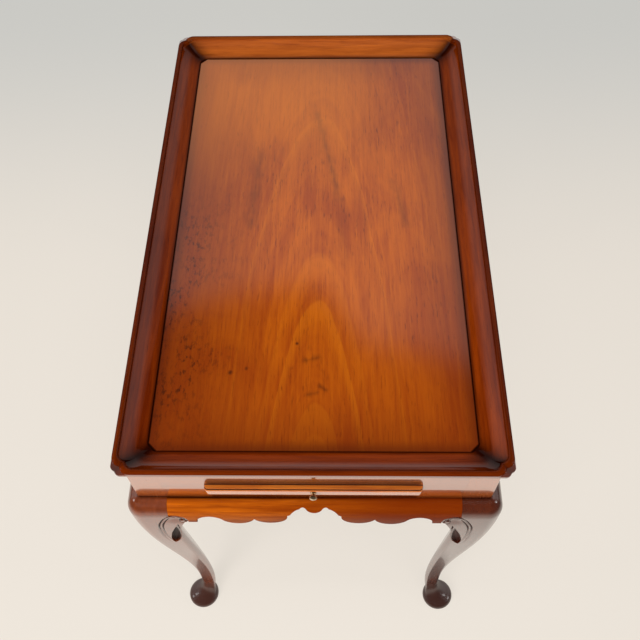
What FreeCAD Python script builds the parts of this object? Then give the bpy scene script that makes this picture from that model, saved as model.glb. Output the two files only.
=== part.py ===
"""Tray top tea table in mahogany, on cabriole legs, with a candle slide at each end.

Millimetres, +Z up. The origin is on the floor under the middle of the tray, X runs across the table
and Y along it, and the near end is at -Y.
"""
import FreeCAD, Part
import Sketcher
import math
import os

DIMENSIONS = (
    ("table_height", 673, "floor to the top of the rim"),
    ("top_length", 812, "tray along Y, over the rim"),
    ("top_width", 490, "tray along X, over the rim"),
    ("rim_width", 37.5, "outer edge of the rim to the field"),
    ("field_depth", 20.5, "top of the rim down to the field"),
    ("panel_thickness", 13.5, "board of the field"),
    ("rebate_width", 6, "panel edge covered by the rim"),
    ("cove_lip", 1.5, "edge of the cove standing on the field"),
    ("crown_width", 10.5, "rounded top strip of the rim"),
    ("crown_height", 5, "strip above the top of the cove"),
    ("crown_outer_round", 5, "outer upper edge of the rim"),
    ("crown_inner_round", 3.5, "inner upper edge of the strip"),
    ("rim_edge", 6.5, "upright outer edge of the rim"),
    ("hollow_step", 0.5, "foot of the hollow under the edge, in front of the frieze"),
    ("hollow_corner_run", 2, "foot of the hollow straight up to this far from the corner"),
    ("hollow_corner_cusp", 0.8, "cusp at the foot of the hollow"),
    ("corner_run", 24, "side straight up to this far from the corner"),
    ("corner_cusp", 11, "cusp of the corner, in from both edges"),
    ("field_corner_run", 12, "the same at the edge of the field"),
    ("field_corner_cusp", 5.5, "the same at the edge of the field"),
    ("rim_overhang", 12, "rim standing out past the frieze"),
    ("frieze_height", 77, "underside of the tray down to the knees"),
    ("post_size", 38, "square post at the head of a leg"),
    ("rail_thickness", 20, "frieze rails"),
    ("tenon_length", 16, "rail into post"),
    ("tenon_thickness", 8, "rail into post"),
    ("tenon_shoulder", 10, "rail above and below its tenon"),
    ("joint_clearance", 0.1, "room round tenons, screws and housed ends"),
    ("fit_gap", 0.2, "glue line between curved pieces"),
    ("ovolo", 19, "quarter round at the head of knee and apron"),
    ("apron_thickness", 30, "apron, front to back"),
    ("notch_depth", 8.5, "frieze to the notches beside the pendant"),
    ("notch_rise", 2, "arch of each notch"),
    ("pendant_half", 11, "half the width of the middle pendant"),
    ("pendant_drop", 5.5, "pendant below its notches"),
    ("notch_end", 19.5, "outer end of a notch, from the middle"),
    ("sweep_rise", 2, "hollow between notch and nick"),
    ("nick_at", 32, "nick at the root of the first lobe"),
    ("nick_depth", 18.5, "frieze to the nick"),
    ("nick_width", 4, "step along the nick"),
    ("nick_drop", 2.5, "step down at the nick"),
    ("end_cusp_at", 81, "cusp between the lobes, end aprons"),
    ("side_cusp_at", 160, "cusp between the lobes, side aprons"),
    ("cusp_depth", 32, "frieze to the cusp"),
    ("first_lobe_rise", 20, "swell of the lobe beside the middle"),
    ("second_lobe_rise", 15, "swell of the outer lobe"),
    ("wave_back", 71.5, "knee to the turn of the wave"),
    ("wave_depth", 36.5, "frieze to the turn of the wave"),
    ("arch_rise", 17, "arch beside the knee block"),
    ("ear_back", 36, "knee to the start of the flat ear"),
    ("ear_depth", 45, "frieze to the flat ear"),
    ("scroll_back", 24, "knee to the tip of the knee block"),
    ("scroll_top_depth", 21, "frieze to the top of the knee block"),
    ("scroll_radius", 18, "round shoulder of the knee block"),
    ("volute_back", 18, "knee to the underside of the volute"),
    ("volute_depth", 49, "frieze to the underside of the volute"),
    ("tail_back", 9, "knee to the tail of the knee block"),
    ("tail_depth", 115, "frieze to the tail of the knee block"),
    ("tail_hollow", 2, "hollow of the block's lower edge"),
    ("tail_recess", 3.6, "tail behind the face of the knee"),
    ("tail_thickness", 7, "tail, front to back"),
    ("block_recess", 0.6, "block behind the face of the knee"),
    ("block_thickness", 22, "knee block, front to back"),
    ("block_sink", 10, "block blank let into the knee before fitting"),
    ("knee_flat", 7, "upright face between quarter round and curve"),
    ("ankle_height", 50, "floor to the ankle"),
    ("ankle_front", 14.2, "front of the leg, from the corner of the post"),
    ("ankle_back", 36, "back of the leg, from the corner of the post"),
    ("sweep_height", 96, "floor to where the leg starts to sweep out to the knee"),
    ("swell_height", 200, "floor to the fullest part of the leg's back"),
    ("swell_back", 43.6, "fullest part of the back, from the corner of the post"),
    ("instep_height", 12, "root of the leg inside the foot"),
    ("instep_front", 9.5, "front of the leg, from the corner of the post"),
    ("instep_back", 27.5, "back of the leg, from the corner of the post"),
    ("knee_arris", 13, "rounded outer corner of the knee, smaller down the leg as it tapers"),
    ("knee_edge", 3, "side edges of the knee, smaller down the leg as it tapers"),
    ("post_edge", 1, "corners where the knee meets the post"),
    ("foot_centre", 10, "middle of the foot, in from the corner of the post"),
    ("foot_radius", 27.5, "widest part of the pad foot"),
    ("foot_waist", 10, "height of the widest part"),
    ("foot_base_radius", 20, "turned disc under the foot"),
    ("foot_base_height", 4, "turned disc under the foot"),
    ("foot_top_radius", 9, "flat at the top of the foot"),
    ("foot_height", 21, "top of the foot"),
    ("slide_drop", 40, "underside of the tray to the middle of a slide"),
    ("slide_thickness", 11, "slide board"),
    ("slide_gap", 128, "between the two boards when shut"),
    ("slide_clearance", 0.4, "running clearance round a slide"),
    ("tongue_length", 5, "tongue of the board into the lip"),
    ("tongue_thickness", 4, "tongue of the board into the lip"),
    ("tongue_inset", 10, "tongue short of the board's edges"),
    ("lip_overlap", 4, "lip past the edges of the slide board"),
    ("lip_height", 14, "moulded lip of a slide"),
    ("lip_reach", 8.5, "lip in front of the frieze"),
    ("lip_round", 3.5, "rounded edges of the lip"),
    ("stop_inset", 85, "stop pegs, in from the inner end of the board"),
    ("stop_spacing", 120, "between the two stop pegs"),
    ("stop_radius", 4, "stop pegs"),
    ("stop_height", 10, "stop pegs above the board"),
    ("stop_depth", 7, "stop pegs into the board"),
    ("runner_gap", 3, "corner blocks to the runners"),
    ("runner_wall", 16.6, "runner outside its groove"),
    ("runner_height", 30, "runner"),
    ("groove_depth", 8, "edge of a slide inside the runner"),
    ("housing_depth", 5, "runner let into the end rails"),
    ("knob_neck_radius", 3, "neck of the brass knob"),
    ("knob_neck", 4, "length of the neck"),
    ("knob_head_radius", 5.2, "head of the brass knob"),
    ("knob_head", 5.5, "length of the head"),
    ("knob_rim", 4.2, "straight rim of the head"),
    ("knob_face_radius", 4.2, "flat face of the head"),
    ("knob_shank_radius", 2, "shank through the lip"),
    ("knob_shank", 12, "shank through the lip"),
    ("corner_block_leg", 40, "corner block along each rail"),
    ("corner_block_height", 30, "corner block"),
    ("screw_radius", 2.2, "top screws"),
    ("screw_head_radius", 4.2, "top screws"),
    ("screw_head", 3, "height of a screw head"),
    ("screw_bite", 9, "screw into the panel"),
)
# A cut that leaves through a face goes on this far beyond it.
OVERCUT = 6
# Turn of the cove at its five sections, from flat on the field to its steep upper edge.
COVE_TURNS = (0, 14, 28, 42, 56)
# Turn of each round edge of the rim at the outlines that follow it.
EDGE_TURNS = (0, 45, 90)
# Turn of the quarter round at the sections of the knee's shoulder.
SHOULDER_TURNS = (0, 20, 40, 60, 90)
# Steps of the leg's sections from the start of its sweep to the knee.
LEG_STEPS = 11
# Flats worked round the outer corner and round each side edge of the leg.
ARRIS_FLATS = 3
EDGE_FLATS = 1
# Points between the side edges as shares of the width: of the leg's rounded back, and of the square post.
ROUND_BACK = ((0.92, 0.33), (0.67, 0.67), (0.33, 0.92))
SQUARE_BACK = ((1, 0.8), (1, 1), (0.8, 1))
# Straight steps along the underside and the dome of the foot.
FOOT_STEPS = 2

doc = FreeCAD.newDocument("TeaTable")
sheet = doc.addObject("Spreadsheet::Sheet", "Sizes")
for row, (alias, value, note) in enumerate(DIMENSIONS, start=1):
    sheet.set(f"A{row}", alias)
    sheet.set(f"B{row}", str(value))
    sheet.setAlias(f"B{row}", alias)
    sheet.set(f"C{row}", note)
doc.recompute()


class Size:
    """A length that knows its formula in the sheet and its value."""

    def __init__(self, formula, value):
        self.formula = formula
        self.value = float(value)

    def __float__(self):
        return self.value

    def __add__(self, other):
        other = as_size(other)
        return Size(f"({self.formula} + {other.formula})", self.value + other.value)

    __radd__ = __add__

    def __sub__(self, other):
        other = as_size(other)
        return Size(f"({self.formula} - {other.formula})", self.value - other.value)

    def __rsub__(self, other):
        return as_size(other) - self

    def __mul__(self, other):
        other = as_size(other)
        return Size(f"({self.formula} * {other.formula})", self.value * other.value)

    __rmul__ = __mul__

    def __truediv__(self, other):
        other = as_size(other)
        return Size(f"({self.formula} / {other.formula})", self.value / other.value)

    def __neg__(self):
        return self * -1


def as_size(number):
    return number if isinstance(number, Size) else Size(f"({float(number):.9f})", number)


class Sheet:
    """The cells of the sheet, read as sizes."""

    def __getattr__(self, alias):
        return Size(f"Sizes.{alias}", sheet.get(alias))


S = Sheet()


def bind(item, path, size):
    item.setExpression(path, as_size(size).formula)


def new_body(label, x=0, y=0, turn=0):
    """An empty sub-part whose own frame stands at x, y and is turned about Z."""
    body = doc.addObject("PartDesign::Body", label)
    body.Label = label
    up = FreeCAD.Vector(0, 0, 1)
    body.Placement = FreeCAD.Placement(FreeCAD.Vector(), FreeCAD.Rotation(up, turn))
    bind(body, "Placement.Base.x", x)
    bind(body, "Placement.Base.y", y)
    return body


def attach(body, item, plane, shift):
    """Lay an item on one of its body's own planes, moved in the plane and along its normal."""
    support = next(f for f in body.Origin.OriginFeatures if f.Role == plane)
    item.AttachmentSupport = (support, [""])
    item.MapMode = "FlatFace"
    for axis, size in zip("xyz", shift):
        bind(item, f"AttachmentOffset.Base.{axis}", size)


def rise(start, end, height):
    """Radius of the arc from start to end that swells out by height, or is hollow by it if negative."""
    across = as_size(end[0]) - start[0]
    along = as_size(end[1]) - start[1]
    return (across * across + along * along) / (8 * as_size(height)) + as_size(height) / 2


def outline(body, name, plane, corners, arcs=None, shift=(0, 0, 0)):
    """Closed sketch through corners, anticlockwise.

    arcs gives the radius of each side that is round, by the number of its first corner: positive
    where it swells out of the outline and negative where it is hollow.
    """
    sketch = body.newObject("Sketcher::SketchObject", name)
    attach(body, sketch, plane, shift)
    arcs = arcs or {}
    corners = [(as_size(x), as_size(y)) for x, y in corners]
    rules = []
    bound = []
    ends = []
    for side, (x, y) in enumerate(corners):
        far_x, far_y = corners[(side + 1) % len(corners)]
        near = FreeCAD.Vector(x.value, y.value, 0)
        far = FreeCAD.Vector(far_x.value, far_y.value, 0)
        if side not in arcs:
            sketch.addGeometry(Part.LineSegment(near, far))
            ends.append((1, 2))
            continue
        signed = as_size(arcs[side])
        out = 1 if signed.value > 0 else -1
        radius = signed * out
        chord = far - near
        inward = FreeCAD.Vector(-chord.y, chord.x, 0).normalize() * out
        reach = math.sqrt(max(radius.value ** 2 - (chord.Length / 2) ** 2, 0))
        centre = (near + far) / 2 + inward * reach
        first, last = (near, far) if out > 0 else (far, near)
        angles = [math.atan2(p.y - centre.y, p.x - centre.x) for p in (first, last)]
        circle = Part.Circle(centre, FreeCAD.Vector(0, 0, 1), radius.value)
        sketch.addGeometry(Part.ArcOfCircle(circle, *angles))
        ends.append((1, 2) if out > 0 else (2, 1))
        rules.append(Sketcher.Constraint("Radius", side, radius.value))
        bound.append((len(rules) - 1, radius))
    for side, (x, y) in enumerate(corners):
        before = (side - 1) % len(corners)
        rules.append(Sketcher.Constraint("Coincident", before, ends[before][1], side, ends[side][0]))
        for kind, size in (("DistanceX", x), ("DistanceY", y)):
            rules.append(Sketcher.Constraint(kind, -1, 1, side, ends[side][0], size.value))
            bound.append((len(rules) - 1, size))
    sketch.addConstraint(rules)
    for number, size in bound:
        bind(sketch, f"Constraints[{number}]", size)
    return sketch


def shaped(body, kind, name, sketch, **sizes):
    """A feature drawn by a sketch, such as a Pad or a Pocket, with its sizes bound."""
    item = body.newObject(f"PartDesign::{kind}", name)
    item.Profile = sketch
    for path, size in sizes.items():
        bind(item, path, size)
    return item


def lofted(body, kind, name, sections):
    item = shaped(body, kind, name, sections[0])
    item.Sections = sections[1:]
    return item


def turned(body, name, sketch):
    """The sketch turned about its own upright axis."""
    item = shaped(body, "Revolution", name, sketch)
    item.ReferenceAxis = (sketch, ["V_Axis"])
    return item


def box(body, kind, name, low, high):
    """An added or cut box between two corners of the body's frame."""
    item = body.newObject(f"PartDesign::{kind}Box", name)
    attach(body, item, "XY_Plane", low)
    for path, start, end in zip(("Length", "Width", "Height"), low, high):
        bind(item, path, as_size(end) - start)
    return item


def bore(body, name, plane, shift, radius, depth):
    item = body.newObject("PartDesign::SubtractiveCylinder", name)
    attach(body, item, plane, shift)
    bind(item, "Radius", radius)
    bind(item, "Height", depth)
    return item


ACROSS = FreeCAD.Vector(1, 0, 0)
ALONG = FreeCAD.Vector(0, 1, 0)


def mirrored(source, label, normal, base=(0, 0)):
    copy = doc.addObject("Part::Mirroring", label)
    copy.Label = label
    copy.Source = source
    copy.Normal = normal
    bind(copy, "Base.x", base[0])
    bind(copy, "Base.y", base[1])
    return copy


nodes = []


def keep(*pieces):
    nodes.extend(pieces)


def keep_pair(piece, other_label, normal):
    """A piece and its mirror image on the far side of the table."""
    keep(piece, mirrored(piece, other_label, normal))


def keep_four(piece, front_right, back_left, back_right):
    """A piece of the front left corner and its images in the other three corners."""
    keep_pair(piece, front_right, ACROSS)
    behind = mirrored(piece, back_left, ALONG)
    keep_pair(behind, back_right, ACROSS)


def between(low, high, share):
    return low + (high - low) * share


# Levels and lines that several pieces share.
field_top = S.table_height - S.field_depth
underside = field_top - S.panel_thickness
shelf = underside - S.frieze_height
frieze_x = S.top_width / 2 - S.rim_overhang
frieze_y = S.top_length / 2 - S.rim_overhang
slide_level = underside - S.slide_drop
slide_length = frieze_y - S.slide_gap / 2
panel_inset = S.rim_width - S.rebate_width
block_end = S.post_size + S.corner_block_leg
screw_at = (S.post_size + (block_end + S.rail_thickness) / 2) / 2

# Tray panel: a plain board let into the rim, drilled from below for the top screws.
panel = new_body("tray_panel")
panel_x = S.top_width / 2 - panel_inset
panel_y = S.top_length / 2 - panel_inset
sketch = outline(panel, "PanelOutline", "XY_Plane",
                 [(-panel_x, -panel_y), (panel_x, -panel_y), (panel_x, panel_y), (-panel_x, panel_y)],
                 shift=(0, 0, underside))
shaped(panel, "Pad", "PanelBoard", sketch, Length=S.panel_thickness)
for corner, (along_x, along_y) in enumerate(((-1, -1), (1, -1), (-1, 1), (1, 1))):
    bore(panel, f"PilotHole{corner}", "XY_Plane",
         (along_x * (frieze_x - screw_at), along_y * (frieze_y - screw_at), underside),
         S.screw_radius + S.joint_clearance, S.screw_bite + S.joint_clearance)
keep(panel)


def rim_moulding(label, length, x, y, turn):
    """One coved moulding of the rim, mitred at both ends.

    Its own frame has the outer edge on the X axis and the field towards +Y. Towards each corner the
    edge turns in round an arc and meets the next moulding in a cusp on the mitre.
    """
    body = new_body(label, x, y, turn)
    half = length / 2
    inner = S.rim_width + S.field_corner_cusp

    def corner_at(inset):
        share = inset / S.rim_width
        return (between(S.corner_run, S.field_corner_run, share),
                between(S.corner_cusp, S.field_corner_cusp, share))

    def cusped(inset, run, cusp):
        """Ends of an edge set in by inset, and the radius of the arcs that turn in at them."""
        radius = ((run - cusp) * (run - cusp) + cusp * cusp) / (2 * cusp)
        return inset + run, inset + cusp, radius

    def plan(name, inset, height, run, cusp):
        """The moulding's outline at a height, with its outer edge set in by inset."""
        straight, tip, radius = cusped(inset, run, cusp)
        return outline(body, name, "XY_Plane",
                       [(tip - half, tip), (straight - half, inset), (half - straight, inset),
                        (half - tip, tip), (half - inner, inner), (inner - half, inner)],
                       {0: radius, 2: radius}, (0, 0, height))

    plans = []
    edge_low = S.table_height - S.crown_outer_round - S.rim_edge
    for number, turn_now in enumerate(EDGE_TURNS):
        angle = math.radians(turn_now)
        out = 1 - math.cos(angle)
        plans.append(plan(f"HollowPlan{number}", (S.rim_overhang - S.hollow_step) * (1 - out),
                          between(underside, edge_low, math.sin(angle)),
                          between(S.hollow_corner_run, S.corner_run, out),
                          between(S.hollow_corner_cusp, S.corner_cusp, out)))
    for number, turn_now in enumerate(EDGE_TURNS):
        angle = math.radians(turn_now)
        inset = S.crown_outer_round * (1 - math.cos(angle))
        height = S.table_height - S.crown_outer_round * (1 - math.sin(angle))
        plans.append(plan(f"CrownPlan{number}", inset, height, *corner_at(inset)))
    lofted(body, "AdditiveLoft", "RimBlank", plans).Ruled = True

    far = inner + OVERCUT
    def well(name, inset, height):
        """The waste inside the moulding at a height, from its inner edge to past the field."""
        straight, tip, radius = cusped(inset, *corner_at(inset))
        return outline(body, name, "XY_Plane",
                       [(tip - half, tip), (straight - half, inset), (half - straight, inset),
                        (half - tip, tip), (half - tip + OVERCUT, tip + OVERCUT),
                        (half - far + OVERCUT, far + OVERCUT), (far - half - OVERCUT, far + OVERCUT),
                        (tip - half - OVERCUT, tip + OVERCUT)],
                       {0: radius, 2: radius}, (0, 0, height))

    wells = []
    cove_foot = field_top + S.cove_lip
    cove_top = S.table_height - S.crown_height
    steepest = math.radians(COVE_TURNS[-1])
    for number, turn_now in enumerate(COVE_TURNS):
        angle = math.radians(turn_now)
        outward = math.sin(angle) / math.sin(steepest)
        upward = (1 - math.cos(angle)) / (1 - math.cos(steepest))
        wells.append(well(f"CoveSection{number}", between(S.rim_width, S.crown_width, outward),
                          between(cove_foot, cove_top, upward)))
    for number, turn_now in enumerate(EDGE_TURNS):
        angle = math.radians(turn_now)
        wells.append(well(f"StepSection{number}",
                          S.crown_width - S.crown_inner_round * (1 - math.cos(angle)),
                          S.table_height - S.crown_inner_round * (1 - math.sin(angle))))
    box(body, "Subtractive", "PanelRebate",
        (panel_inset - half - OVERCUT, panel_inset, underside - OVERCUT),
        (half - panel_inset + OVERCUT, far, field_top))
    shaped(body, "Pocket", "FieldEdge", wells[0], Length=S.cove_lip + OVERCUT)
    lofted(body, "SubtractiveLoft", "Cove", wells).Ruled = True
    return body


keep_pair(rim_moulding("rim_front", S.top_width, 0, -S.top_length / 2, 0), "rim_back", ALONG)
keep_pair(rim_moulding("rim_left", S.top_length, -S.top_width / 2, 0, -90), "rim_right", ACROSS)

# Leg of the front left corner. Its own frame has the outer corner of the post on the Z axis and the
# table towards +X and +Y, so each section lies between a front and a back distance.
leg = new_body("leg_front_left", -frieze_x, -frieze_y)
knee_line = shelf - S.ovolo - S.knee_flat


def leg_section(name, height, front, back, arris, edge, inner_points):
    """Two outer faces that meet in a round arris, with the given points between the side edges."""
    width = back - front
    corners = []

    def round_corner(x, y, inward_x, inward_y, radius, turn, flats):
        for flat in range(flats + 1):
            angle = math.radians(turn + 90 * flat / flats)
            corners.append((x + radius * (inward_x + math.cos(angle)),
                            y + radius * (inward_y + math.sin(angle))))

    round_corner(front, front, 1, 1, arris, 180, ARRIS_FLATS)
    round_corner(back, front, -1, 1, edge, 270, EDGE_FLATS)
    corners += [(front + width * across, front + width * along) for across, along in inner_points]
    round_corner(front, back, 1, -1, edge, 90, EDGE_FLATS)
    return outline(leg, name, "XY_Plane", corners, shift=(0, 0, height))


def tapered_section(name, height, front, back):
    """The section of the knee at another size: every edge keeps its share of the width."""
    share = (back - front) / (S.post_size + S.ovolo)
    return leg_section(name, height, front, back, S.knee_arris * share, S.knee_edge * share, ROUND_BACK)


def leg_back(height):
    """Back of the leg: out from the ankle to its fullest part, and in again under the knee."""
    if float(height) < float(S.swell_height):
        left = (S.swell_height - height) / (S.swell_height - S.ankle_height)
        return S.swell_back - (S.swell_back - S.ankle_back) * left * left * left
    past = (height - S.swell_height) / (knee_line - S.swell_height)
    return S.swell_back - (S.swell_back - S.post_size) * past * past


sections = [
    tapered_section("InstepSection", S.instep_height, S.instep_front, S.instep_back),
    tapered_section("AnkleSection", S.ankle_height, S.ankle_front, S.ankle_back),
]
for step in range(LEG_STEPS + 1):
    share = step / LEG_STEPS
    eased = share * share * (3 - 2 * share)
    height = between(S.sweep_height, knee_line, share)
    sections.append(tapered_section(f"LegSection{step}", height, between(S.ankle_front, -S.ovolo, eased),
                                    leg_back(height)))
sections.append(tapered_section("KneeSection", shelf - S.ovolo, -S.ovolo, S.post_size))
lofted(leg, "AdditiveLoft", "Cabriole", sections).Ruled = True

# The shoulder goes in round the quarter round to the post, and is square behind as the post is.
shoulder = []
for number, turn_now in enumerate(SHOULDER_TURNS):
    angle = math.radians(turn_now)
    left = math.cos(angle)
    shoulder.append(leg_section(
        f"ShoulderSection{number}", shelf - S.ovolo * (1 - math.sin(angle)), -S.ovolo * left, S.post_size,
        between(S.post_edge, S.knee_arris, left), between(S.post_edge, S.knee_edge, left), SQUARE_BACK))
lofted(leg, "AdditiveLoft", "Shoulder", shoulder).Ruled = True

sketch = outline(leg, "PostPlan", "XY_Plane",
                 [(0, 0), (S.post_size, 0), (S.post_size, S.post_size), (0, S.post_size)],
                 shift=(0, 0, shelf))
shaped(leg, "Pad", "Post", sketch, Length=S.frieze_height)

# Pad foot: a disc, a tucked underside and a dome, each a quarter of an ellipse in short steps.
foot = [(0, 0), (S.foot_base_radius, 0)]
for step in range(FOOT_STEPS):
    angle = math.radians(90 * step / FOOT_STEPS)
    foot.append((between(S.foot_base_radius, S.foot_radius, math.sin(angle)),
                 between(S.foot_waist, S.foot_base_height, math.cos(angle))))
for step in range(FOOT_STEPS):
    angle = math.radians(90 * step / FOOT_STEPS)
    foot.append((between(S.foot_top_radius, S.foot_radius, math.cos(angle)),
                 between(S.foot_waist, S.foot_height, math.sin(angle))))
foot += [(S.foot_top_radius, S.foot_height), (0, S.foot_height)]
sketch = outline(leg, "FootProfile", "XZ_Plane", foot, shift=(S.foot_centre, 0, -S.foot_centre))
turned(leg, "PadFoot", sketch)

tenon_side = (S.rail_thickness - S.tenon_thickness) / 2 - S.joint_clearance
tenon_far = (S.rail_thickness + S.tenon_thickness) / 2 + S.joint_clearance
tenon_low = shelf + S.tenon_shoulder - S.joint_clearance
tenon_high = underside - S.tenon_shoulder + S.joint_clearance
mortise_end = S.post_size - S.tenon_length - S.joint_clearance
box(leg, "Subtractive", "EndMortise", (mortise_end, tenon_side, tenon_low),
    (S.post_size + OVERCUT, tenon_far, tenon_high))
box(leg, "Subtractive", "SideMortise", (tenon_side, mortise_end, tenon_low),
    (tenon_far, S.post_size + OVERCUT, tenon_high))
keep_four(leg, "leg_front_right", "leg_back_left", "leg_back_right")


def frieze_rail(label, half, x, y, turn):
    """Rail between two posts, tenoned into both. Its own frame has the frieze on the X axis."""
    body = new_body(label, x, y, turn)
    end = half - S.post_size
    sketch = outline(body, "RailPlan", "XY_Plane",
                     [(-end, 0), (end, 0), (end, S.rail_thickness), (-end, S.rail_thickness)],
                     shift=(0, 0, shelf))
    shaped(body, "Pad", "RailBoard", sketch, Length=S.frieze_height)
    near = (S.rail_thickness - S.tenon_thickness) / 2
    low = shelf + S.tenon_shoulder
    high = underside - S.tenon_shoulder
    far = near + S.tenon_thickness
    reach = end + S.tenon_length
    box(body, "Additive", "LeftTenon", (-reach, near, low), (-end, far, high))
    box(body, "Additive", "RightTenon", (end, near, low), (reach, far, high))
    return body


side_rail = frieze_rail("rail_left", frieze_y, -frieze_x, 0, -90)
keep_pair(side_rail, "rail_right", ACROSS)

# The end rails have a slot for the slide and are housed behind it for the runners.
end_rail = frieze_rail("rail_front", frieze_x, 0, -frieze_y, 0)
runner_outer = frieze_x - block_end - S.runner_gap
groove_side = runner_outer - S.runner_wall
groove_half = S.slide_thickness / 2 + S.slide_clearance
board_half = groove_side - S.slide_clearance
runner_inner = board_half - S.groove_depth
box(end_rail, "Subtractive", "SlideSlot", (-groove_side, -OVERCUT, slide_level - groove_half),
    (groove_side, S.rail_thickness + OVERCUT, slide_level + groove_half))
housing_bottom = S.rail_thickness - S.housing_depth - S.joint_clearance
housing_half = S.runner_height / 2 + S.joint_clearance
for name, start, stop in (("LeftHousing", -runner_outer, -runner_inner),
                          ("RightHousing", runner_inner, runner_outer)):
    box(end_rail, "Subtractive", name,
        (start - S.joint_clearance, housing_bottom, slide_level - housing_half),
        (stop + S.joint_clearance, S.rail_thickness + OVERCUT, slide_level + housing_half))
keep_pair(end_rail, "rail_back", ALONG)


def apron(label, half, cusp_at, x, y, turn):
    """Scalloped board under a rail, with a quarter round from the frieze out to its face."""
    body = new_body(label, x, y, turn)
    knee = half - S.post_size
    right = [
        (S.pendant_half, shelf - S.notch_depth),
        (S.notch_end, shelf - S.notch_depth),
        (S.nick_at, shelf - S.nick_depth),
        (S.nick_at + S.nick_width, shelf - S.nick_depth - S.nick_drop),
        (cusp_at, shelf - S.cusp_depth),
        (knee - S.wave_back, shelf - S.wave_depth),
        (knee - S.ear_back, shelf - S.ear_depth),
        (knee - S.scroll_back, shelf - S.ear_depth),
        (knee - S.scroll_back, shelf - S.scroll_top_depth - S.scroll_radius),
        (knee - S.scroll_back + S.scroll_radius, shelf - S.scroll_top_depth),
        (knee - S.fit_gap, shelf - S.scroll_top_depth),
        (knee - S.fit_gap, shelf),
    ]
    swells = (-S.notch_rise, -S.sweep_rise, None, S.first_lobe_rise, S.second_lobe_rise, -S.arch_rise)
    corners = [(-across, level) for across, level in reversed(right)] + right
    middle = len(right)
    arcs = {middle - 1: rise(corners[middle - 1], corners[middle], S.pendant_drop)}
    for number, swell in enumerate(swells):
        if swell is not None:
            radius = rise(right[number], right[number + 1], swell)
            arcs[middle + number] = radius
            arcs[middle - 2 - number] = radius
    arcs[middle + 8] = -S.scroll_radius
    arcs[middle - 10] = -S.scroll_radius
    sketch = outline(body, "ApronOutline", "XZ_Plane", corners, arcs, (0, 0, S.ovolo))
    board = shaped(body, "Pad", "ApronBoard", sketch, Length=S.apron_thickness)
    board.Reversed = True
    sketch = outline(body, "OvoloWaste", "YZ_Plane",
                     [(-S.ovolo, shelf - S.ovolo), (0, shelf), (0, shelf + OVERCUT),
                      (-S.ovolo - OVERCUT, shelf + OVERCUT), (-S.ovolo - OVERCUT, shelf - S.ovolo)],
                     {0: -S.ovolo})
    cut = shaped(body, "Pocket", "Ovolo", sketch, Length=2 * half)
    cut.SideType = "Symmetric"
    return body


keep_pair(apron("apron_front", frieze_x, S.end_cusp_at, 0, -frieze_y, 0), "apron_back", ALONG)
keep_pair(apron("apron_left", frieze_y, S.side_cusp_at, -frieze_x, 0, -90), "apron_right", ACROSS)

# Knee block of the front left leg, on its front face: a scrolled ear that fills the angle under the
# apron and tails off down the back edge of the leg. The blank is cut to the curve of the leg.
blank = new_body("KneeBlockBlank", -frieze_x, -frieze_y)
tail = (S.post_size + S.tail_back, shelf - S.tail_depth)
volute = (S.post_size + S.volute_back, shelf - S.volute_depth)
tip = (S.post_size + S.scroll_back - S.fit_gap, shelf - S.scroll_top_depth - S.scroll_radius)
brow = (S.post_size + S.scroll_back - S.scroll_radius, shelf - S.scroll_top_depth - S.fit_gap)
sunk = S.post_size - S.block_sink
curl_x = tip[0] - volute[0]
curl_z = tip[1] - volute[1]
# The underside of the volute turns upright where it reaches the tip.
curl_radius = (curl_x * curl_x + curl_z * curl_z) / (2 * curl_x)
sketch = outline(blank, "BlockOutline", "XZ_Plane",
                 [(sunk, shelf - S.tail_depth), tail, volute, tip, brow, (sunk, brow[1])],
                 {1: rise(tail, volute, -S.tail_hollow), 2: curl_radius, 3: S.scroll_radius - S.fit_gap},
                 (0, 0, S.ovolo - S.block_recess))
board = shaped(blank, "Pad", "BlockBoard", sketch, Length=S.block_thickness)
board.Reversed = True

# The tail falls back from the face of the knee, and thins away behind.
tail_level = shelf - S.tail_depth
below_tail = tail_level - OVERCUT
volute_level = shelf - S.volute_depth
tail_face = S.tail_recess - S.ovolo
tail_rear = tail_face + S.tail_thickness
block_face = S.block_recess - S.ovolo
block_rear = block_face + S.block_thickness
in_front = -S.ovolo - OVERCUT
behind_block = block_rear + OVERCUT
front_waste = [(in_front, below_tail), (tail_face, below_tail), (tail_face, tail_level),
               (block_face, volute_level), (in_front, volute_level)]
rear_waste = [(behind_block, below_tail), (behind_block, volute_level), (block_rear, volute_level),
              (tail_rear, tail_level), (tail_rear, below_tail)]
for name, waste in (("TailFall", front_waste), ("TailThinning", rear_waste)):
    sketch = outline(blank, f"{name}Waste", "YZ_Plane", waste)
    cut = shaped(blank, "Pocket", name, sketch, Length=2 * (S.post_size + S.scroll_back))
    cut.SideType = "Symmetric"
end_block = doc.addObject("Part::Cut", "knee_block_front_left_end")
end_block.Base = blank
end_block.Tool = leg
keep_four(end_block, "knee_block_front_right_end", "knee_block_back_left_end",
          "knee_block_back_right_end")
side_block = mirrored(end_block, "knee_block_front_left_side", FreeCAD.Vector(1, -1, 0),
                      (-frieze_x, -frieze_y))
keep_four(side_block, "knee_block_front_right_side", "knee_block_back_left_side",
          "knee_block_back_right_side")

# Runners: grooved bearers from end rail to end rail, which carry both slides by their edges.
runner = new_body("runner_left")
runner_low = slide_level - S.runner_height / 2
runner_high = slide_level + S.runner_height / 2
sketch = outline(runner, "RunnerSection", "XZ_Plane",
                 [(-runner_outer, runner_low), (-runner_inner, runner_low),
                  (-runner_inner, slide_level - groove_half), (-groove_side, slide_level - groove_half),
                  (-groove_side, slide_level + groove_half), (-runner_inner, slide_level + groove_half),
                  (-runner_inner, runner_high), (-runner_outer, runner_high)])
runner_half = frieze_y - S.rail_thickness + S.housing_depth
bar = shaped(runner, "Pad", "RunnerBar", sketch, Length=2 * runner_half)
bar.SideType = "Symmetric"
keep_pair(runner, "runner_right", ACROSS)

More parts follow.
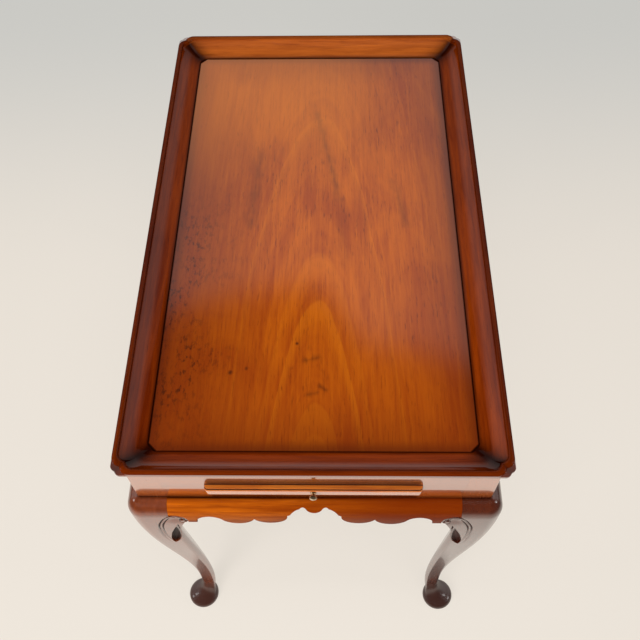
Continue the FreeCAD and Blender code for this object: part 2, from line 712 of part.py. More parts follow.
# Candle slide of the near end: a board tongued into a moulded lip, a brass knob whose shank goes
# through both, and two pegs that meet the back of the rail when the slide is fully out.
slide = new_body("slide_board_front", 0, -frieze_y)
sketch = outline(slide, "SlidePlan", "XY_Plane",
                 [(-board_half, 0), (board_half, 0), (board_half, slide_length), (-board_half, slide_length)],
                 shift=(0, 0, slide_level - S.slide_thickness / 2))
shaped(slide, "Pad", "SlideBoard", sketch, Length=S.slide_thickness)
tongue_half = board_half - S.tongue_inset
box(slide, "Additive", "Tongue", (-tongue_half, -S.tongue_length, slide_level - S.tongue_thickness / 2),
    (tongue_half, 0, slide_level + S.tongue_thickness / 2))
shank_end = S.knob_shank - S.lip_reach
bore(slide, "ShankBore", "XZ_Plane", (0, slide_level, -shank_end), S.knob_shank_radius,
     S.knob_shank + OVERCUT)
peg_y = slide_length - S.stop_inset
peg_low = slide_level + S.slide_thickness / 2 - S.stop_depth
pegs = doc.addObject("Part::Compound", "slide_pins_front")
links = []
for name, side in (("Left", -1), ("Right", 1)):
    peg_x = side * S.stop_spacing / 2
    bore(slide, f"{name}PegHole", "XY_Plane", (peg_x, peg_y, peg_low), S.stop_radius,
         S.stop_depth + OVERCUT)
    peg = doc.addObject("Part::Cylinder", f"{name}Peg")
    bind(peg, "Radius", S.stop_radius)
    bind(peg, "Height", S.stop_depth + S.stop_height)
    for axis, size in zip("xyz", (peg_x, peg_y - frieze_y, peg_low)):
        bind(peg, f"Placement.Base.{axis}", size)
    links.append(peg)
pegs.Links = links
keep_pair(slide, "slide_board_back", ALONG)
keep_pair(pegs, "slide_pins_back", ALONG)

lip = new_body("slide_lip_front", 0, -frieze_y)
lip_low = slide_level - S.lip_height / 2
lip_high = slide_level + S.lip_height / 2
sketch = outline(lip, "LipSection", "YZ_Plane",
                 [(S.lip_round - S.lip_reach, lip_low), (0, lip_low), (0, lip_high),
                  (S.lip_round - S.lip_reach, lip_high), (-S.lip_reach, lip_high - S.lip_round),
                  (-S.lip_reach, lip_low + S.lip_round)],
                 {3: S.lip_round, 5: S.lip_round})
bar = shaped(lip, "Pad", "LipBar", sketch, Length=2 * (board_half + S.lip_overlap))
bar.SideType = "Symmetric"
box(lip, "Subtractive", "LipGroove",
    (-tongue_half, -S.tongue_length, slide_level - S.tongue_thickness / 2),
    (tongue_half, OVERCUT, slide_level + S.tongue_thickness / 2))
bore(lip, "LipBore", "XZ_Plane", (0, slide_level, -OVERCUT), S.knob_shank_radius,
     2 * S.lip_reach + OVERCUT)
keep_pair(lip, "slide_lip_back", ALONG)

knob = new_body("knob_front", 0, -frieze_y)
head_back = (S.knob_head_radius, -S.lip_reach - S.knob_neck)
head_rim = (S.knob_head_radius, -S.lip_reach - S.knob_neck - S.knob_rim)
head_front = (S.knob_face_radius, -S.lip_reach - S.knob_neck - S.knob_head)
neck_end = (S.knob_neck_radius, -S.lip_reach - S.knob_neck)
neck_foot = (S.knob_neck_radius, -S.lip_reach)
sketch = outline(knob, "KnobProfile", "XY_Plane",
                 [(0, head_front[1]), head_front, head_rim, head_back, neck_end, neck_foot,
                  (S.knob_shank_radius, -S.lip_reach), (S.knob_shank_radius, shank_end),
                  (0, shank_end)],
                 shift=(0, 0, slide_level))
turned(knob, "KnobTurning", sketch)
keep_pair(knob, "knob_back", ALONG)

# Corner blocks: glued round the inside of each post, with a screw up through each into the panel.
block = new_body("corner_block_front_left", -frieze_x, -frieze_y)
block_low = underside - S.corner_block_height
sketch = outline(block, "CornerPlan", "XY_Plane",
                 [(S.post_size, S.rail_thickness), (block_end, S.rail_thickness),
                  (S.rail_thickness, block_end), (S.rail_thickness, S.post_size),
                  (S.post_size, S.post_size)],
                 shift=(0, 0, block_low))
shaped(block, "Pad", "CornerBoard", sketch, Length=S.corner_block_height)
bore(block, "ScrewHole", "XY_Plane", (screw_at, screw_at, block_low), S.screw_radius + S.joint_clearance,
     S.corner_block_height + OVERCUT)
keep_four(block, "corner_block_front_right", "corner_block_back_left", "corner_block_back_right")

screw = new_body("Screw", screw_at - frieze_x, screw_at - frieze_y)
head_low = block_low - S.screw_head
screw_tip = underside + S.screw_bite
sketch = outline(screw, "ScrewProfile", "XZ_Plane",
                 [(0, head_low), (S.screw_head_radius, head_low), (S.screw_head_radius, block_low),
                  (S.screw_radius, block_low), (S.screw_radius, screw_tip), (0, screw_tip)])
turned(screw, "ScrewTurning", sketch)
screw_right = mirrored(screw, "ScrewRight", ACROSS)
screw_back = mirrored(screw, "ScrewBack", ALONG)
screw_far = mirrored(screw_right, "ScrewFar", ALONG)
screws = doc.addObject("Part::Compound", "top_screws")
screws.Links = [screw, screw_right, screw_back, screw_far]
keep(screws)

doc.recompute()
faults = [f"{item.Label}: {item.State}" for item in doc.Objects if {"Invalid", "Error"} & set(item.State)]
for piece in nodes:
    if piece.Shape.isNull() or not piece.Shape.isValid() or not piece.Shape.Solids:
        faults.append(f"{piece.Label}: no sound solid")
if faults:
    raise SystemExit("\n".join(faults))

os.makedirs("parts", exist_ok=True)
for piece in nodes:
    piece.Shape.exportStep(os.path.join("parts", f"{piece.Label}.step"))
print(f"{len(nodes)} pieces written")
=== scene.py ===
import math

import bmesh
import bpy
import numpy as np
from mathutils import Matrix, Vector


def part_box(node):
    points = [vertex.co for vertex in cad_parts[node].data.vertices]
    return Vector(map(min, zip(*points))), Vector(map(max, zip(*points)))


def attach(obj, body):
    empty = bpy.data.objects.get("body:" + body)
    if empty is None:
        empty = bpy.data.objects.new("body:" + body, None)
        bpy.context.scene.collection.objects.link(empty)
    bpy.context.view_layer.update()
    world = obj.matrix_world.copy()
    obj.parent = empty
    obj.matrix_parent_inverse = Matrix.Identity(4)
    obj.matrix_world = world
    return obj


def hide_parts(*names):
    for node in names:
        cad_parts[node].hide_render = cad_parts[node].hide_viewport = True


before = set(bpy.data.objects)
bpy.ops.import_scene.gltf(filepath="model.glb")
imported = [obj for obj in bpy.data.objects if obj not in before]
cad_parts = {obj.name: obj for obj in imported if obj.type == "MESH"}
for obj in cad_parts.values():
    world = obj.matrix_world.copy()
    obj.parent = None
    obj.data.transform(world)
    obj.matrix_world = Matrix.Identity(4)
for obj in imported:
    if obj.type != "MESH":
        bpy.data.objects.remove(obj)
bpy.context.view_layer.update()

# Legs: four cabriole legs of solid mahogany, each sawn and rasped from one length of wood with its post,
# its knee and its pad foot. The two outer faces of the knee are carved with a scroll, the rails are
# tenoned into the post, and the whole is French polished.
mm = 0.001
rail_low, rail_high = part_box("rail_front")
frieze_x = -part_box("rail_left")[0].x
frieze_y = -rail_low.y
shelf = rail_low.z
underside = rail_high.z
ovolo = -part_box("apron_front")[0].y - frieze_y
post = 38 * mm
shoulder_rise = 26 * mm
knee_line = shelf - shoulder_rise
sweep_line = 96 * mm
swell_line = 200 * mm
swell_back = 43.6 * mm
ankle_line = 50 * mm
ankle_front = 14.2 * mm
ankle_back = 36 * mm
instep_line = 12 * mm
instep_front = 9.5 * mm
instep_back = 27.5 * mm
knee_arris = 20 * mm
ankle_arris = 7 * mm
side_edge = 7 * mm
ankle_edge = 4 * mm
seam_edge = 0.3 * mm
seam_lines = (515 * mm, 535 * mm)
square_lines = (480 * mm, 535 * mm)
post_arris = 1.2 * mm
round_back = 1.6
square_back = 9
foot_middle = 10 * mm
foot_radius = 27.5 * mm
foot_waist = 10 * mm
foot_dome = 11 * mm
foot_top = 9 * mm
foot_disc = 20 * mm
foot_disc_height = 4 * mm
foot_chamfer = 0.7 * mm


class Shade:
    """A socket in a node tree. Arithmetic on it adds Math nodes."""

    def __init__(self, tree, socket=None):
        self.tree = tree
        self.socket = socket

    def node(self, kind, settings=None, sockets=None, output=0):
        """A new node: its settings first, then the values or links of its sockets, then one output."""
        made = self.tree.nodes.new(kind)
        for name, value in (settings or {}).items():
            setattr(made, name, value)
        for name, value in (sockets or {}).items():
            if isinstance(value, Shade):
                self.tree.links.new(value.socket, made.inputs[name])
            else:
                made.inputs[name].default_value = value
        return Shade(self.tree, made.outputs[output])

    def maths(self, operation, first, second):
        return self.node("ShaderNodeMath", {"operation": operation}, {0: first, 1: second})

    def __add__(self, other):
        return self.maths("ADD", self, other)

    __radd__ = __add__

    def __sub__(self, other):
        return self.maths("SUBTRACT", self, other)

    def __rsub__(self, other):
        return self.maths("SUBTRACT", other, self)

    def __mul__(self, other):
        return self.maths("MULTIPLY", self, other)

    __rmul__ = __mul__

    def __truediv__(self, other):
        return self.maths("DIVIDE", self, other)

    def __pow__(self, other):
        return self.maths("POWER", self, other)

    def feed(self, shader, name):
        self.tree.links.new(self.socket, shader.inputs[name])


def noise(place, scale, detail=3, roughness=0.5, distortion=0):
    return place.node("ShaderNodeTexNoise", {}, {"Vector": place, "Scale": scale, "Detail": detail,
                                                 "Roughness": roughness, "Distortion": distortion}, "Fac")


def stretched(place, factors):
    return place.node("ShaderNodeVectorMath", {"operation": "MULTIPLY"}, {0: place, 1: factors})


def axis(place, name):
    """One coordinate of a place."""
    return place.node("ShaderNodeSeparateXYZ", {}, {0: place}, name)


def ease(value, low, high):
    """0 below low, 1 above high, and a soft step between them."""
    return value.node("ShaderNodeMapRange", {"interpolation_type": "SMOOTHSTEP"},
                      {"Value": value, "From Min": low, "From Max": high})


def mixed(share, first, second):
    return share.node("ShaderNodeMix", {"data_type": "RGBA"}, {0: share, 6: first, 7: second}, 2)


def attribute(place, name):
    """A value painted on the piece's points."""
    return place.node("ShaderNodeAttribute", {"attribute_name": name}, output="Fac")


def new_finish(name):
    """An empty material with its shader and the place on the piece that its pattern reads."""
    material = bpy.data.materials.new(name)
    material.use_nodes = True
    tree = material.node_tree
    place = Shade(tree).node("ShaderNodeTexCoord", output="Object")
    return material, tree.nodes["Principled BSDF"], place


def fed(shader, name):
    """What feeds a socket of a shader so far."""
    return Shade(shader.id_data, shader.inputs[name].links[0].from_socket)


def reopened(material):
    """Shader, place and present colour of a finish, for more to go on top."""
    shader = material.node_tree.nodes["Principled BSDF"]
    place = Shade(material.node_tree).node("ShaderNodeTexCoord", output="Object")
    return shader, place, fed(shader, "Base Color")


def bumped(shader, height, strength, distance):
    """Fine relief in a finish."""
    height.node("ShaderNodeBump", {}, {"Strength": strength, "Distance": distance, "Height": height},
                "Normal").feed(shader, "Normal")


def french_polish(shader, shellac, wood, haze):
    """A clear film over the wood: how strongly film and wood mirror, and how soft the mirror image is."""
    shader.inputs["Coat Weight"].default_value = 1
    shader.inputs["Coat Roughness"].default_value = haze
    shader.inputs["Coat IOR"].default_value = shellac
    shader.inputs["IOR"].default_value = wood
    shader.inputs["Specular IOR Level"].default_value = 0.5 if wood > 1.5 else 0


def mahogany(name, grain, dark, light, shellac=1.5, wood=1.3, haze=0.06, sheen=0.28):
    """Polished mahogany: broad tone, streaks along the grain and short dark pores."""
    material, shader, place = new_finish(name)
    along = [1.0, 1.0, 1.0]
    along[grain] = 0.07
    fine = [1.0, 1.0, 1.0]
    fine[grain] = 0.03
    broad = noise(stretched(place, along), 14, 3, 0.5, 0.6)
    streak = noise(stretched(place, along), 150, 4, 0.62, 0.3)
    tone = ease(broad * 0.55 + streak * 0.45, 0.3, 0.72)
    pore = ease(noise(stretched(place, fine), 1150, 2, 0.5), 0.60, 0.74)
    # Points painted in the carved layer are darkened: painted shade in hollows, crevices and angles, and on
    # the rims a darker crown as well.
    carved = attribute(place, "carved")
    colour = mixed(tone, (*dark, 1), (*light, 1))
    colour = mixed(pore * 0.5, colour, tuple(0.4 * part for part in dark) + (1,))
    colour = mixed(ease(carved, 0.05, 0.7), colour, tuple(0.16 * part for part in dark) + (1,))
    colour.feed(shader, "Base Color")
    (sheen + 0.12 * streak + 0.1 * pore).feed(shader, "Roughness")
    bumped(shader, noise(place, 22, 2) * 0.3 - pore * 0.02, 0.05, 0.003)
    french_polish(shader, shellac, wood, haze)
    return material


def added(name, data):
    """A new object in the scene."""
    thing = bpy.data.objects.new(name, data)
    bpy.context.scene.collection.objects.link(thing)
    return thing


def skin(name, rings, material, **painted):
    """A closed mesh through rings of equally many points, capped at both ends."""
    rings = np.asarray(rings, float)
    count, around = rings.shape[:2]
    faces = []
    for ring in range(count - 1):
        low = ring * around
        for point in range(around):
            after = (point + 1) % around
            faces.append((low + point, low + after, low + around + after, low + around + point))
    faces.append(tuple(reversed(range(around))))
    faces.append(tuple(range((count - 1) * around, count * around)))
    mesh = bpy.data.meshes.new(name)
    mesh.from_pydata(rings.reshape(-1, 3), [], faces)
    for layer, values in painted.items():
        mesh.attributes.new(layer, "FLOAT", "POINT").data.foreach_set(
            "value", np.asarray(values, np.float32).ravel())
    shape = bmesh.new()
    shape.from_mesh(mesh)
    bmesh.ops.remove_doubles(shape, verts=shape.verts, dist=0.002 * mm)
    bmesh.ops.recalc_face_normals(shape, faces=shape.faces)
    shape.to_mesh(mesh)
    shape.free()
    mesh.shade_smooth()
    mesh.set_sharp_from_angle(angle=math.radians(38))
    mesh.materials.append(material)
    return added(name, mesh)


def dress(piece, body, slot, *nodes):
    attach(piece, body)
    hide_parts(*nodes)


def risen(value, low, high):
    """How far a value lies between two others, from 0 to 1."""
    return min(max((value - low) / (high - low), 0), 1)


def part_way(first, second, share):
    return first + (second - first) * share


def leg_lines(z):
    """Front and back of the leg at a height, as distances from the outer corner of the post."""
    if z < ankle_line:
        share = (z - instep_line) / (ankle_line - instep_line)
        return part_way(instep_front, ankle_front, share), part_way(instep_back, ankle_back, share)
    share = risen(z, sweep_line, knee_line)
    front = part_way(ankle_front, -ovolo, share * share * (3 - 2 * share))
    if z < swell_line:
        left = (swell_line - z) / (swell_line - ankle_line)
        return front, part_way(swell_back, ankle_back, left ** 3)
    return front, part_way(swell_back, post, risen(z, swell_line, knee_line) ** 2)


# Half of a section runs from the outer arris along one face, over the side edge and round the back.
arris_points = 9
face_points = 96
edge_points = 9
back_points = 15


def half_section(front, back, arris, edge, fullness):
    """Points of the half section; its back is round, or fills out to a square as fullness grows."""
    width = back - front
    turns = np.radians(np.linspace(225, 270, arris_points, endpoint=False))
    arc = np.column_stack([front + arris * (1 + np.cos(turns)), front + arris * (1 + np.sin(turns))])
    along = np.linspace(front + arris, back - edge, face_points)
    face = np.column_stack([along, np.full(face_points, front)])
    turns = np.radians(np.linspace(270, 360, edge_points + 1))[1:]
    side = np.column_stack([back - edge + edge * np.cos(turns), front + edge * (1 + np.sin(turns))])
    power = 2 / fullness
    start = math.asin((edge / width) ** (1 / power))
    turns = np.linspace(start, math.pi / 4, back_points + 1)[1:]
    left = (math.pi / 4 - turns) / (math.pi / 4 - start)
    lead = 1 + (math.cos(start) ** -power - 1) * left
    rear_x = front + width * np.cos(turns) ** power * lead
    rear = np.column_stack([rear_x, front + width * np.sin(turns) ** power])
    return np.vstack([arc, face, side, rear])


def leg_ring(z, front, back, arris, edge, fullness):
    half = half_section(front, back, arris, edge, fullness)
    whole = np.vstack([half, half[-2:0:-1, ::-1]])
    return np.column_stack([whole, np.full(len(whole), z)])


def leg_edges(z):
    """Outer arris, side edge and fullness of the back at a height."""
    share = risen(z, ankle_line, knee_line)
    arris = part_way(ankle_arris, knee_arris, share)
    edge = part_way(ankle_edge, side_edge, min(3 * share, 1))
    edge = part_way(edge, seam_edge, risen(z, *seam_lines))
    return arris, edge, round_back * (square_back / round_back) ** risen(z, *square_lines)


# Carved scroll on a face of the knee, as distance from the outer corner of the post and height: a ridge
# between two grooves that curls in to a bead on the knee block, a shallow dish beside the bead and a deep
# almond gouge under it.
scroll_path = [(60, 522), (58.8, 531), (53, 537.6), (43.5, 537.6), (32.5, 527), (22.5, 504),
               (18.6, 484), (17.6, 455), (19.2, 428), (23, 405)]
bead_at = (55.2, 519.5)
bead_radius = 4.8
bead_depth = 2
gouge_top = (45.6, 507)
gouge_foot = (24.5, 404)
gouge_half = 7
gouge_depth = 8
groove_depth = 2.4
groove_half = 1.2
ridge_half = 1.4
dish_at = (45, 524)
dish_reach = (13, 11)
dish_depth = 3.2


def smooth_line(points, steps):
    """Points on a smooth curve through the given ones."""
    points = np.asarray(points, float)
    ends = np.vstack([2 * points[0] - points[1], points, 2 * points[-1] - points[-2]])
    share = np.linspace(0, 1, steps, endpoint=False)[:, None]
    line = []
    for first, second, third, fourth in zip(ends, ends[1:], ends[2:], ends[3:]):
        line.append(0.5 * (2 * second + (third - first) * share
                           + (2 * first - 5 * second + 4 * third - fourth) * share ** 2
                           + (3 * second - first - 3 * third + fourth) * share ** 3))
    return np.vstack(line + [points[-1:]])


scroll_line = smooth_line(scroll_path, 12)


def carving(across, height):
    """How deep the carving goes at places on the face of the knee, and how much painted shade darkens it."""
    u = np.asarray(across) / mm
    z = np.asarray(height) / mm
    gaps = np.hypot(u[..., None] - scroll_line[:, 0], z[..., None] - scroll_line[:, 1])
    nearest = gaps.argmin(-1)
    gap = np.take_along_axis(gaps, nearest[..., None], -1)[..., 0]
    fade = np.clip((len(scroll_line) - nearest) / 45, 0, 1)
    groove = groove_depth * fade * np.exp(-((gap - ridge_half - groove_half) / groove_half) ** 2)
    to_bead = np.hypot(u - bead_at[0], z - bead_at[1]) / bead_radius
    ring = bead_depth * np.exp(-((to_bead - 1.15) / 0.22) ** 2)
    tilt = (z - gouge_foot[1]) / (gouge_top[1] - gouge_foot[1])
    middle = part_way(gouge_foot[0], gouge_top[0], tilt)
    lobe = np.clip(1 - np.abs(2 * np.clip(tilt, 0, 1) - 1) ** np.where(tilt > 0.5, 1.6, 4), 0, 1)
    inside = 1 - (np.abs(u - middle) / (gouge_half * lobe + 0.01)) ** 2
    gouge = gouge_depth * np.sqrt(np.clip(inside, 0, 1)) * np.sqrt(lobe)
    to_dish = ((u - dish_at[0]) / dish_reach[0]) ** 2 + ((z - dish_at[1]) / dish_reach[1]) ** 2
    dish = dish_depth * np.exp(-1.6 * to_dish) * (to_bead > 1)
    # Painted shade in the grooves and round the bead, deepest in the gouge.
    painted_shade = np.maximum(0.75 * np.maximum(groove / groove_depth, ring / bead_depth), 1.3 * gouge / gouge_depth)
    return np.maximum(np.maximum(groove, ring), np.maximum(gouge, dish)) * mm, np.clip(painted_shade, 0, 1)


ankle_ring = leg_ring(ankle_line, *leg_lines(ankle_line), ankle_arris, ankle_edge, round_back)[:, :2]
from_middle = ankle_ring - ankle_ring.mean(axis=0)
toward = from_middle / np.linalg.norm(from_middle, axis=1)[:, None]


def quarter_turn(steps):
    return np.radians(np.linspace(0, 90, steps))


def foot_ring(z, radius):
    return np.column_stack([foot_middle + radius * toward, np.full(len(toward), z)])


leg_rings = [foot_ring(0, foot_disc - foot_chamfer), foot_ring(foot_chamfer, foot_disc)]
for turn in quarter_turn(9):
    leg_rings.append(foot_ring(part_way(foot_waist, foot_disc_height, math.cos(turn)),
                               part_way(foot_disc, foot_radius, math.sin(turn))))
dome_end = math.radians(42)
for turn in np.linspace(0, dome_end, 10)[1:]:
    leg_rings.append(foot_ring(foot_waist + foot_dome * math.sin(turn),
                               part_way(foot_top, foot_radius, math.cos(turn))))
# The dome runs up into the ankle in a hollow curve.
hollow_top = 46 * mm
hollow_low = leg_rings[-1]
hollow_high = leg_ring(hollow_top, *leg_lines(hollow_top), ankle_arris, ankle_edge, round_back)
dome_slope = foot_dome * math.cos(dome_end) / ((foot_radius - foot_top) * math.sin(dome_end))
inward = np.linalg.norm(hollow_low[:, :2] - foot_middle, axis=1)
inward = inward - np.linalg.norm(hollow_high[:, :2] - foot_middle, axis=1)
hollow_turn = np.column_stack([hollow_high[:, :2], hollow_low[:, 2] + dome_slope * np.maximum(inward, 0)])
for share in np.linspace(0, 1, 14)[1:]:
    leg_rings.append((1 - share) ** 2 * hollow_low + 2 * share * (1 - share) * hollow_turn
                     + share ** 2 * hollow_high)
carved_low = 400 * mm
plain_levels = np.linspace(hollow_top, carved_low, 60)[1:]
carved_levels = np.linspace(carved_low, knee_line, 140)[1:]
for z in (*plain_levels, *carved_levels):
    leg_rings.append(leg_ring(z, *leg_lines(z), *leg_edges(z)))
for turn in quarter_turn(15)[1:]:
    left = math.cos(turn)
    leg_rings.append(leg_ring(knee_line + shoulder_rise * math.sin(turn), -ovolo * left, post,
                              part_way(post_arris, knee_arris, left), seam_edge, square_back))
leg_rings.append(leg_ring(underside, 0, post, post_arris, seam_edge, square_back))
leg_rings = np.array(leg_rings)

# Carving cuts both outer faces alike, each along its own normal, and fades out over the side edge. Where
# the knee block lies over the edge, the leg stays a little behind it.
tail_low = shelf - 115 * mm
ear_top = shelf - 21.2 * mm
behind_block = 0.1 * mm
block_margin = 0.3 * mm
face_end = arris_points + face_points
edge_end = face_end + edge_points
edge_fade = np.linspace(1, 0, edge_points + 1)[1:]
on_face = np.zeros(leg_rings.shape[1])
on_face[arris_points:face_end] = 1
on_face[face_end:edge_end] = edge_fade
covered = (leg_rings[:, :, 2] > tail_low) & (leg_rings[:, :, 2] < ear_top)
edge_line = np.array([leg_lines(z)[1] - leg_edges(z)[1] for z in leg_rings[:, 0, 2]])
leg_painted_shade = np.zeros(leg_rings.shape[:2])
for normal, along, share in ((1, 0, on_face), (0, 1, np.roll(on_face[::-1], 1))):
    depth, painted_shade = carving(leg_rings[:, :, along], leg_rings[:, :, 2])
    depth = depth * share
    behind = covered & (leg_rings[:, :, along] > edge_line[:, None] - block_margin)
    leg_rings[:, :, normal] += depth + behind_block * behind * share
    leg_painted_shade = np.maximum(leg_painted_shade, painted_shade * share)

# The polish is worn off the feet, thin on the legs, thinner over the knees and full on the posts. Painted
# shade darkens the carving, the angle over the shelf and the legs on the right.
leg_dark = (0.085, 0.013, 0.002)
leg_light = (0.20, 0.038, 0.006)
shaded_right_tone = (0.045, 0.005, 0.0008, 1)
foot_tone = (0.030, 0.008, 0.005, 1)
post_tone = (0.36, 0.085, 0.013, 1)
angle_shade_tone = (0.012, 0.002, 0.001, 1)
leg_polish = (2.9, 1.7, 0.04, 0.16)
leg_wood = mahogany("leg_mahogany", 2, leg_dark, leg_light, *leg_polish)
leg_shader, place, plain = reopened(leg_wood)
level = axis(place, "Z")
on_foot = 1 - ease(level, 20 * mm, 85 * mm)
on_knee = ease(level, shelf - 32 * mm, shelf - 12 * mm)
on_post = ease(level, shelf - 2 * mm, shelf + 4 * mm)
# Painted shade in the angle over the shelf, where the polish is thin as well.
angle_shade = ease(level, shelf - 0.5 * mm, shelf + 0.5 * mm)
angle_shade = angle_shade * (1 - ease(level, shelf + 2 * mm, shelf + 5 * mm))
over_angle = ease(level, shelf, shelf + 4 * mm) * (1 - ease(level, shelf + 5 * mm, shelf + 18 * mm))
cut = ease(attribute(place, "carved"), 0.3, 0.8)
film = 0.06 + 0.32 * ease(level, 35 * mm, 80 * mm) - 0.34 * on_knee + 0.94 * on_post
film = film - 0.8 * angle_shade - 0.55 * over_angle
(film * (1 - 0.95 * cut)).feed(leg_shader, "Coat Weight")
# Painted shade on the legs on the right.
shaded_right = mixed(0.72 * ease(axis(place, "X"), 0.0, 0.1), plain, shaded_right_tone)
worn_and_shaded = mixed(0.88 * on_foot, shaded_right, foot_tone)
worn_and_shaded = mixed(ease(level, shelf + 2 * mm, shelf + 18 * mm), worn_and_shaded, post_tone)
mixed(0.9 * angle_shade, worn_and_shaded, angle_shade_tone).feed(leg_shader, "Base Color")
(fed(leg_shader, "Roughness") + 0.22 * on_foot + 0.5 * cut).feed(leg_shader, "Roughness")
corners = (("front_left", -1, -1), ("front_right", 1, -1), ("back_left", -1, 1), ("back_right", 1, 1))


def placed(points, side_x, side_y):
    """Points of the corner's own frame, moved to one corner of the table."""
    return np.stack([side_x * (frieze_x - points[..., 0]), side_y * (frieze_y - points[..., 1]),
                     points[..., 2]], axis=-1)


for corner, side_x, side_y in corners:
    leg = skin(f"leg_{corner}_carved", placed(leg_rings, side_x, side_y), leg_wood, carved=leg_painted_shade)
    dress(leg, "table", "mahogany", f"leg_{corner}")

# Knee blocks: scrolled ears glued into the angles between the knees and the aprons, two to each leg.
# They are carved after gluing, so the scroll of the knee runs on across them and no joint shows.
ear_tip = (61.8 * mm, shelf - 39 * mm)
ear_shoulder = 17.8 * mm
ear_curl = 11.5 * mm
volute = (56 * mm, shelf - 49 * mm)
tail_hollow = 2.5 * mm
ear_rear = 3.4 * mm
ear_round = 1.6 * mm


def ear_edge(z):
    """Free edge of the knee block at a height."""
    if z >= ear_tip[1]:
        return ear_tip[0] - ear_shoulder + math.sqrt(max(ear_shoulder ** 2 - (z - ear_tip[1]) ** 2, 0))
    if z >= volute[1]:
        return ear_tip[0] - ear_curl + math.sqrt(ear_curl ** 2 - (z - ear_tip[1]) ** 2)
    share = risen(z, tail_low, volute[1])
    tail = leg_lines(tail_low)[1]
    return part_way(tail, volute[0], share) - 4 * tail_hollow * share * (1 - share)


ear_rings = []
ear_painted_shade = []
front_columns = 64
side_columns = 10
block_depth = 10 * mm
block_overlap = 1 * mm
thinnest = 0.5 * mm
for z in np.linspace(tail_low, ear_top, 126):
    front, back = leg_lines(z)
    arris, edge, _ = leg_edges(z)
    spread = max(ear_edge(z) - back, 0)
    fall = risen(z, tail_low, volute[1])
    radius = part_way(side_edge, ear_round, fall)
    seam = back - max(edge, block_overlap)
    half = half_section(front, back, arris, radius, round_back)
    face_x = np.linspace(seam, back + spread - radius, front_columns)
    depth, painted_shade = carving(face_x, np.full(front_columns, z))
    turned = half[face_end:edge_end]
    behind = half[edge_end - 1:]
    rear = part_way(front + block_depth, ear_rear, fall)
    rear = max(rear, front + depth.max() + radius + thinnest)
    flank_y = np.linspace(front + radius, rear, side_columns + 1)[1:]
    flank_x = np.interp(flank_y, behind[:, 1], behind[:, 0])
    x = np.concatenate([face_x, turned[:, 0] + spread, flank_x + spread, [seam]])
    y = np.concatenate([front + depth, turned[:, 1] + depth[-1] * edge_fade, flank_y, [rear]])
    ear_rings.append(np.column_stack([x, y, np.full(len(x), z)]))
    ear_painted_shade.append(np.concatenate([painted_shade, painted_shade[-1] * edge_fade, np.zeros(side_columns + 1)]))
ear_rings = np.array(ear_rings)
for corner, side_x, side_y in corners:
    for face, points in (("end", ear_rings), ("side", ear_rings[..., [1, 0, 2]])):
        ear = skin(f"ear_{corner}_{face}", placed(points, side_x, side_y), leg_wood, carved=ear_painted_shade)
        dress(ear, "table", "mahogany", f"knee_block_{corner}_{face}")

# Rails: the flat frieze between the posts, four mahogany boards tenoned into the legs and polished to a
# mirror. The end rails are slotted for the candle slides.
lip_low, lip_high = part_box("slide_lip_front")
frieze_dark = (0.26, 0.055, 0.009)
frieze_light = (0.46, 0.115, 0.017)
frieze_polish = (2.9, 1.7, 0.035, 0.14)
rail_painted_shade_tone = (0.020, 0.002, 0.0005, 1)


def finish_node(node, material):
    """A piece whose solid is kept as it is takes its finish."""
    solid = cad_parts[node]
    solid.data.materials.clear()
    solid.data.materials.append(material)


# Painted shade darkens and dulls the foot of every rail, and the end rails over and under the lip of the
# slide.
for label, grain, sides in (("end", 0, ("front", "back")), ("side", 1, ("left", "right"))):
    frieze_wood = mahogany(f"{label}_frieze_mahogany", grain, frieze_dark, frieze_light, *frieze_polish)
    rail_shader, place, plain = reopened(frieze_wood)
    level = axis(place, "Z")
    # Painted shade along the foot of the rail, darkest in the angle over the shelf.
    foot_shade = 0.75 - 0.75 * ease(level, shelf + 4 * mm, shelf + 18 * mm)
    rail_painted_shade = place.maths("MAXIMUM", foot_shade, 1 - ease(level, shelf + 2 * mm, shelf + 5 * mm))
    if label == "end":
        # Painted shade over and under the lip, lighter on the back rail.
        aside = (axis(place, "X") ** 2) ** 0.5
        over_lip = (1 - ease(level, lip_high.z + 8 * mm, lip_high.z + 28 * mm)) ** 0.7
        over_lip = over_lip * (1 - 0.55 * ease(axis(place, "Y"), -0.1, 0.1))
        over_lip = over_lip * ease(level, lip_low.z - 10 * mm, lip_low.z - 1 * mm)
        under_lip = 1 - ease(level, shelf + 8 * mm, shelf + 14 * mm)
        round_lip = place.maths("MAXIMUM", over_lip, under_lip)
        round_lip = round_lip * (1 - ease(aside, lip_high.x - 6 * mm, lip_high.x))
        rail_painted_shade = place.maths("MAXIMUM", rail_painted_shade, round_lip)
    mixed(0.93 * rail_painted_shade, plain, rail_painted_shade_tone).feed(rail_shader, "Base Color")
    (1 - 0.85 * rail_painted_shade).feed(rail_shader, "Coat Weight")
    for side in sides:
        finish_node(f"rail_{side}", frieze_wood)

# Aprons: mahogany boards glued under the rails, rounded over at the top and fretted along the lower edge
# into lobes, cusps and a small pendant in the middle.
apron_rear = 11 * mm
apron_edge_round = 1.2 * mm
knee_gap = 0.2 * mm
end_cusp_at = 81
side_cusp_at = 160


def arc_points(start, end, swell, steps=12):
    """Points from start to end on an arc that hangs below the chord by swell, or rises above it."""
    start = np.array(start)
    end = np.array(end)
    chord = end - start
    length = np.hypot(*chord)
    if abs(swell) < 1e-6:
        return np.array([start, end])
    radius = length ** 2 / (8 * abs(swell)) + abs(swell) / 2
    sweep = 2 * math.asin(min(length / (2 * radius), 1))
    if abs(swell) > length / 2:
        sweep = 2 * math.pi - sweep
    hang = math.copysign(1, swell)
    below = np.array([chord[1], -chord[0]]) / length * hang
    middle = (start + end) / 2 - below * (radius - abs(swell))
    turns = np.linspace(-sweep / 2, sweep / 2, steps + 1)
    return np.array([middle + radius * (below * math.cos(turn) + chord / length * math.sin(turn))
                     for turn in turns])


